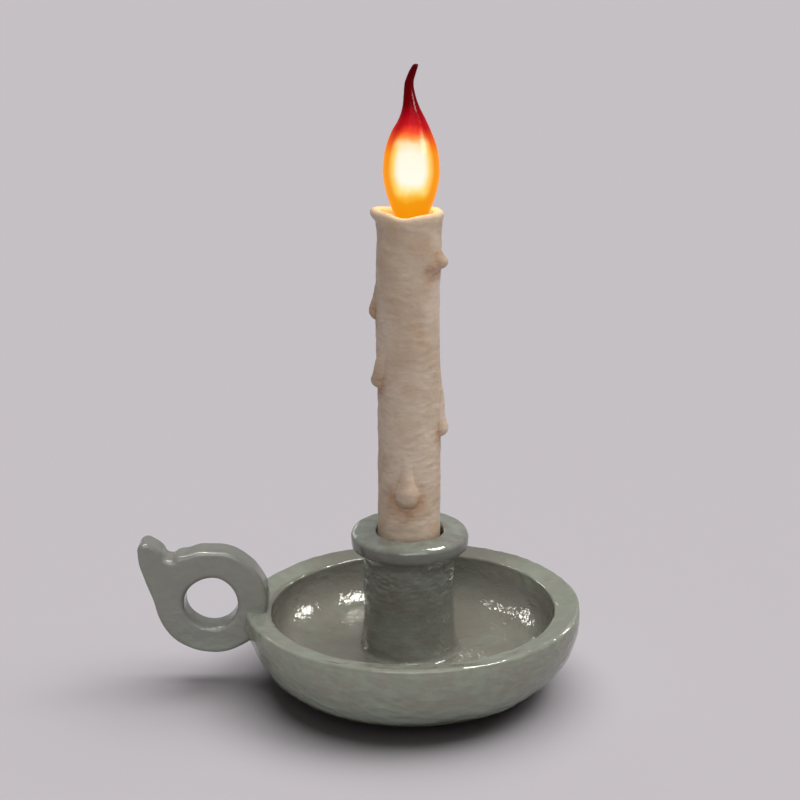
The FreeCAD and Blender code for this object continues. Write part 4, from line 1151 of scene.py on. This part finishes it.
# Stage: a pale floor that runs back under a pale sky, a sun-like key light from the right
# and soft fill, and small lamps whose reflections give the gloss paint its highlights.
PALE = shade(197, 192, 196)
FLOOR_REACH = 40
floor_mesh = bpy.data.meshes.new("floor")
floor_mesh.from_pydata(
    [(x * FLOOR_REACH, y * FLOOR_REACH, 0) for x, y in ((-1, -1), (1, -1), (1, 1), (-1, 1))],
    [],
    [(0, 1, 2, 3)],
)
floor = bpy.data.objects.new("floor", floor_mesh)
bpy.context.scene.collection.objects.link(floor)
floor_finish = Finish("floor", roughness=1.0, specular_ior_level=0.0)
floor_finish.wear(base_color=PALE)
floor_finish.coat(floor)

world = bpy.data.worlds.new("studio")
bpy.context.scene.world = world
world.use_nodes = True
background = world.node_tree.nodes["Background"]
background.inputs["Color"].default_value = (*PALE, 1)
seen = world.node_tree.nodes.new("ShaderNodeLightPath")

# The sky sheds little light, is seen at its full paleness and is mirrored at about half of it
SKY_LIGHT = 0.06
SKY_SHOWN = {"Is Glossy Ray": 0.54, "Is Camera Ray": 0.94, "Is Transmission Ray": 0.94}
strength = None
for ray, added in SKY_SHOWN.items():
    more = world.node_tree.nodes.new("ShaderNodeMath")
    more.operation = "MULTIPLY_ADD"
    more.inputs[1].default_value = added
    more.inputs[2].default_value = SKY_LIGHT
    world.node_tree.links.new(seen.outputs[ray], more.inputs[0])
    if strength:
        world.node_tree.links.new(strength, more.inputs[2])
    strength = more.outputs["Value"]
world.node_tree.links.new(strength, background.inputs["Strength"])


def group(name, *pieces):
    """A collection that names the pieces which a light shines on."""
    made = bpy.data.collections.new(name)
    for piece in pieces:
        made.objects.link(piece)
    return made


lit_pieces = group("lit_pieces", dish, finger_ring, cup, candle, flame)
painted = group("painted", dish, finger_ring)
candle_only = group("candle_only", candle)
dish_only = group("dish_only", dish)
ring_only = group("ring_only", finger_ring)
cup_only = group("cup_only", cup)
flame_only = group("flame_only", flame)


def sun(name, turns, spread, power, shines_on=None):
    """Even light from far away, on everything or only on some pieces."""
    data = bpy.data.lights.new(name, "SUN")
    data.energy = power
    data.angle = math.radians(spread)
    made = bpy.data.objects.new(name, data)
    made.rotation_euler = [math.radians(turn) for turn in turns]
    made.light_linking.receiver_collection = shines_on
    bpy.context.scene.collection.objects.link(made)
    return made


# The two broad suns from above light the scene but leave no glare on the paint
sun("key", (-8, 37, 0), 36, 0.74).visible_glossy = False
sun("top", (-12, 8, 0), 68, 2.54).visible_glossy = False
sun("front", (46, 4, 0), 50, 1.25, lit_pieces)
sun("low_front", (66, -38, 0), 40, 0.78, painted)
sun("side", (12, 78, 0), 40, 0.5, candle_only)

LAMP_DISTANCE = 1.5


def lamp(name, round_degrees, up_degrees, width, height, power, shines_on):
    """A soft lamp that shows only as a highlight, at an angle round from the back and up."""
    data = bpy.data.lights.new(name, "AREA")
    data.shape = "RECTANGLE"
    data.size = width
    data.size_y = height
    data.energy = power
    data.color = shade(255, 255, 244)
    made = bpy.data.objects.new(name, data)
    aside = math.radians(round_degrees)
    up = math.radians(up_degrees)
    away = Vector((math.cos(up) * math.sin(aside), math.cos(up) * math.cos(aside), math.sin(up)))
    made.location = away * LAMP_DISTANCE
    made.rotation_euler = away.to_track_quat("Z", "Y").to_euler()
    made.visible_diffuse = False
    made.light_linking.receiver_collection = shines_on
    bpy.context.scene.collection.objects.link(made)


lamp("back_right", 46, 34, 0.24, 0.19, 6, dish_only)
lamp("back_left", -43, 31, 0.22, 0.17, 5, dish_only)
lamp("low_back", 8, 20, 0.06, 0.08, 0.2, dish_only)
lamp("high_left", -47, 49, 0.1, 0.08, 2, dish_only)
lamp("above_right", 62, 66, 0.34, 0.17, 16, dish_only)
lamp("over_cup", 52, 65, 0.6, 0.4, 26, cup_only)
lamp("behind_cup", -24, 18, 0.5, 0.3, 0.8, cup_only)
lamp("before_cup", 180, 50, 0.5, 0.3, 2.4, cup_only)
lamp("over_ring", -100, 78, 0.2, 1.6, 36, ring_only)
lamp("streak", 118, 37, 0.55, 0.5, 46, flame_only)
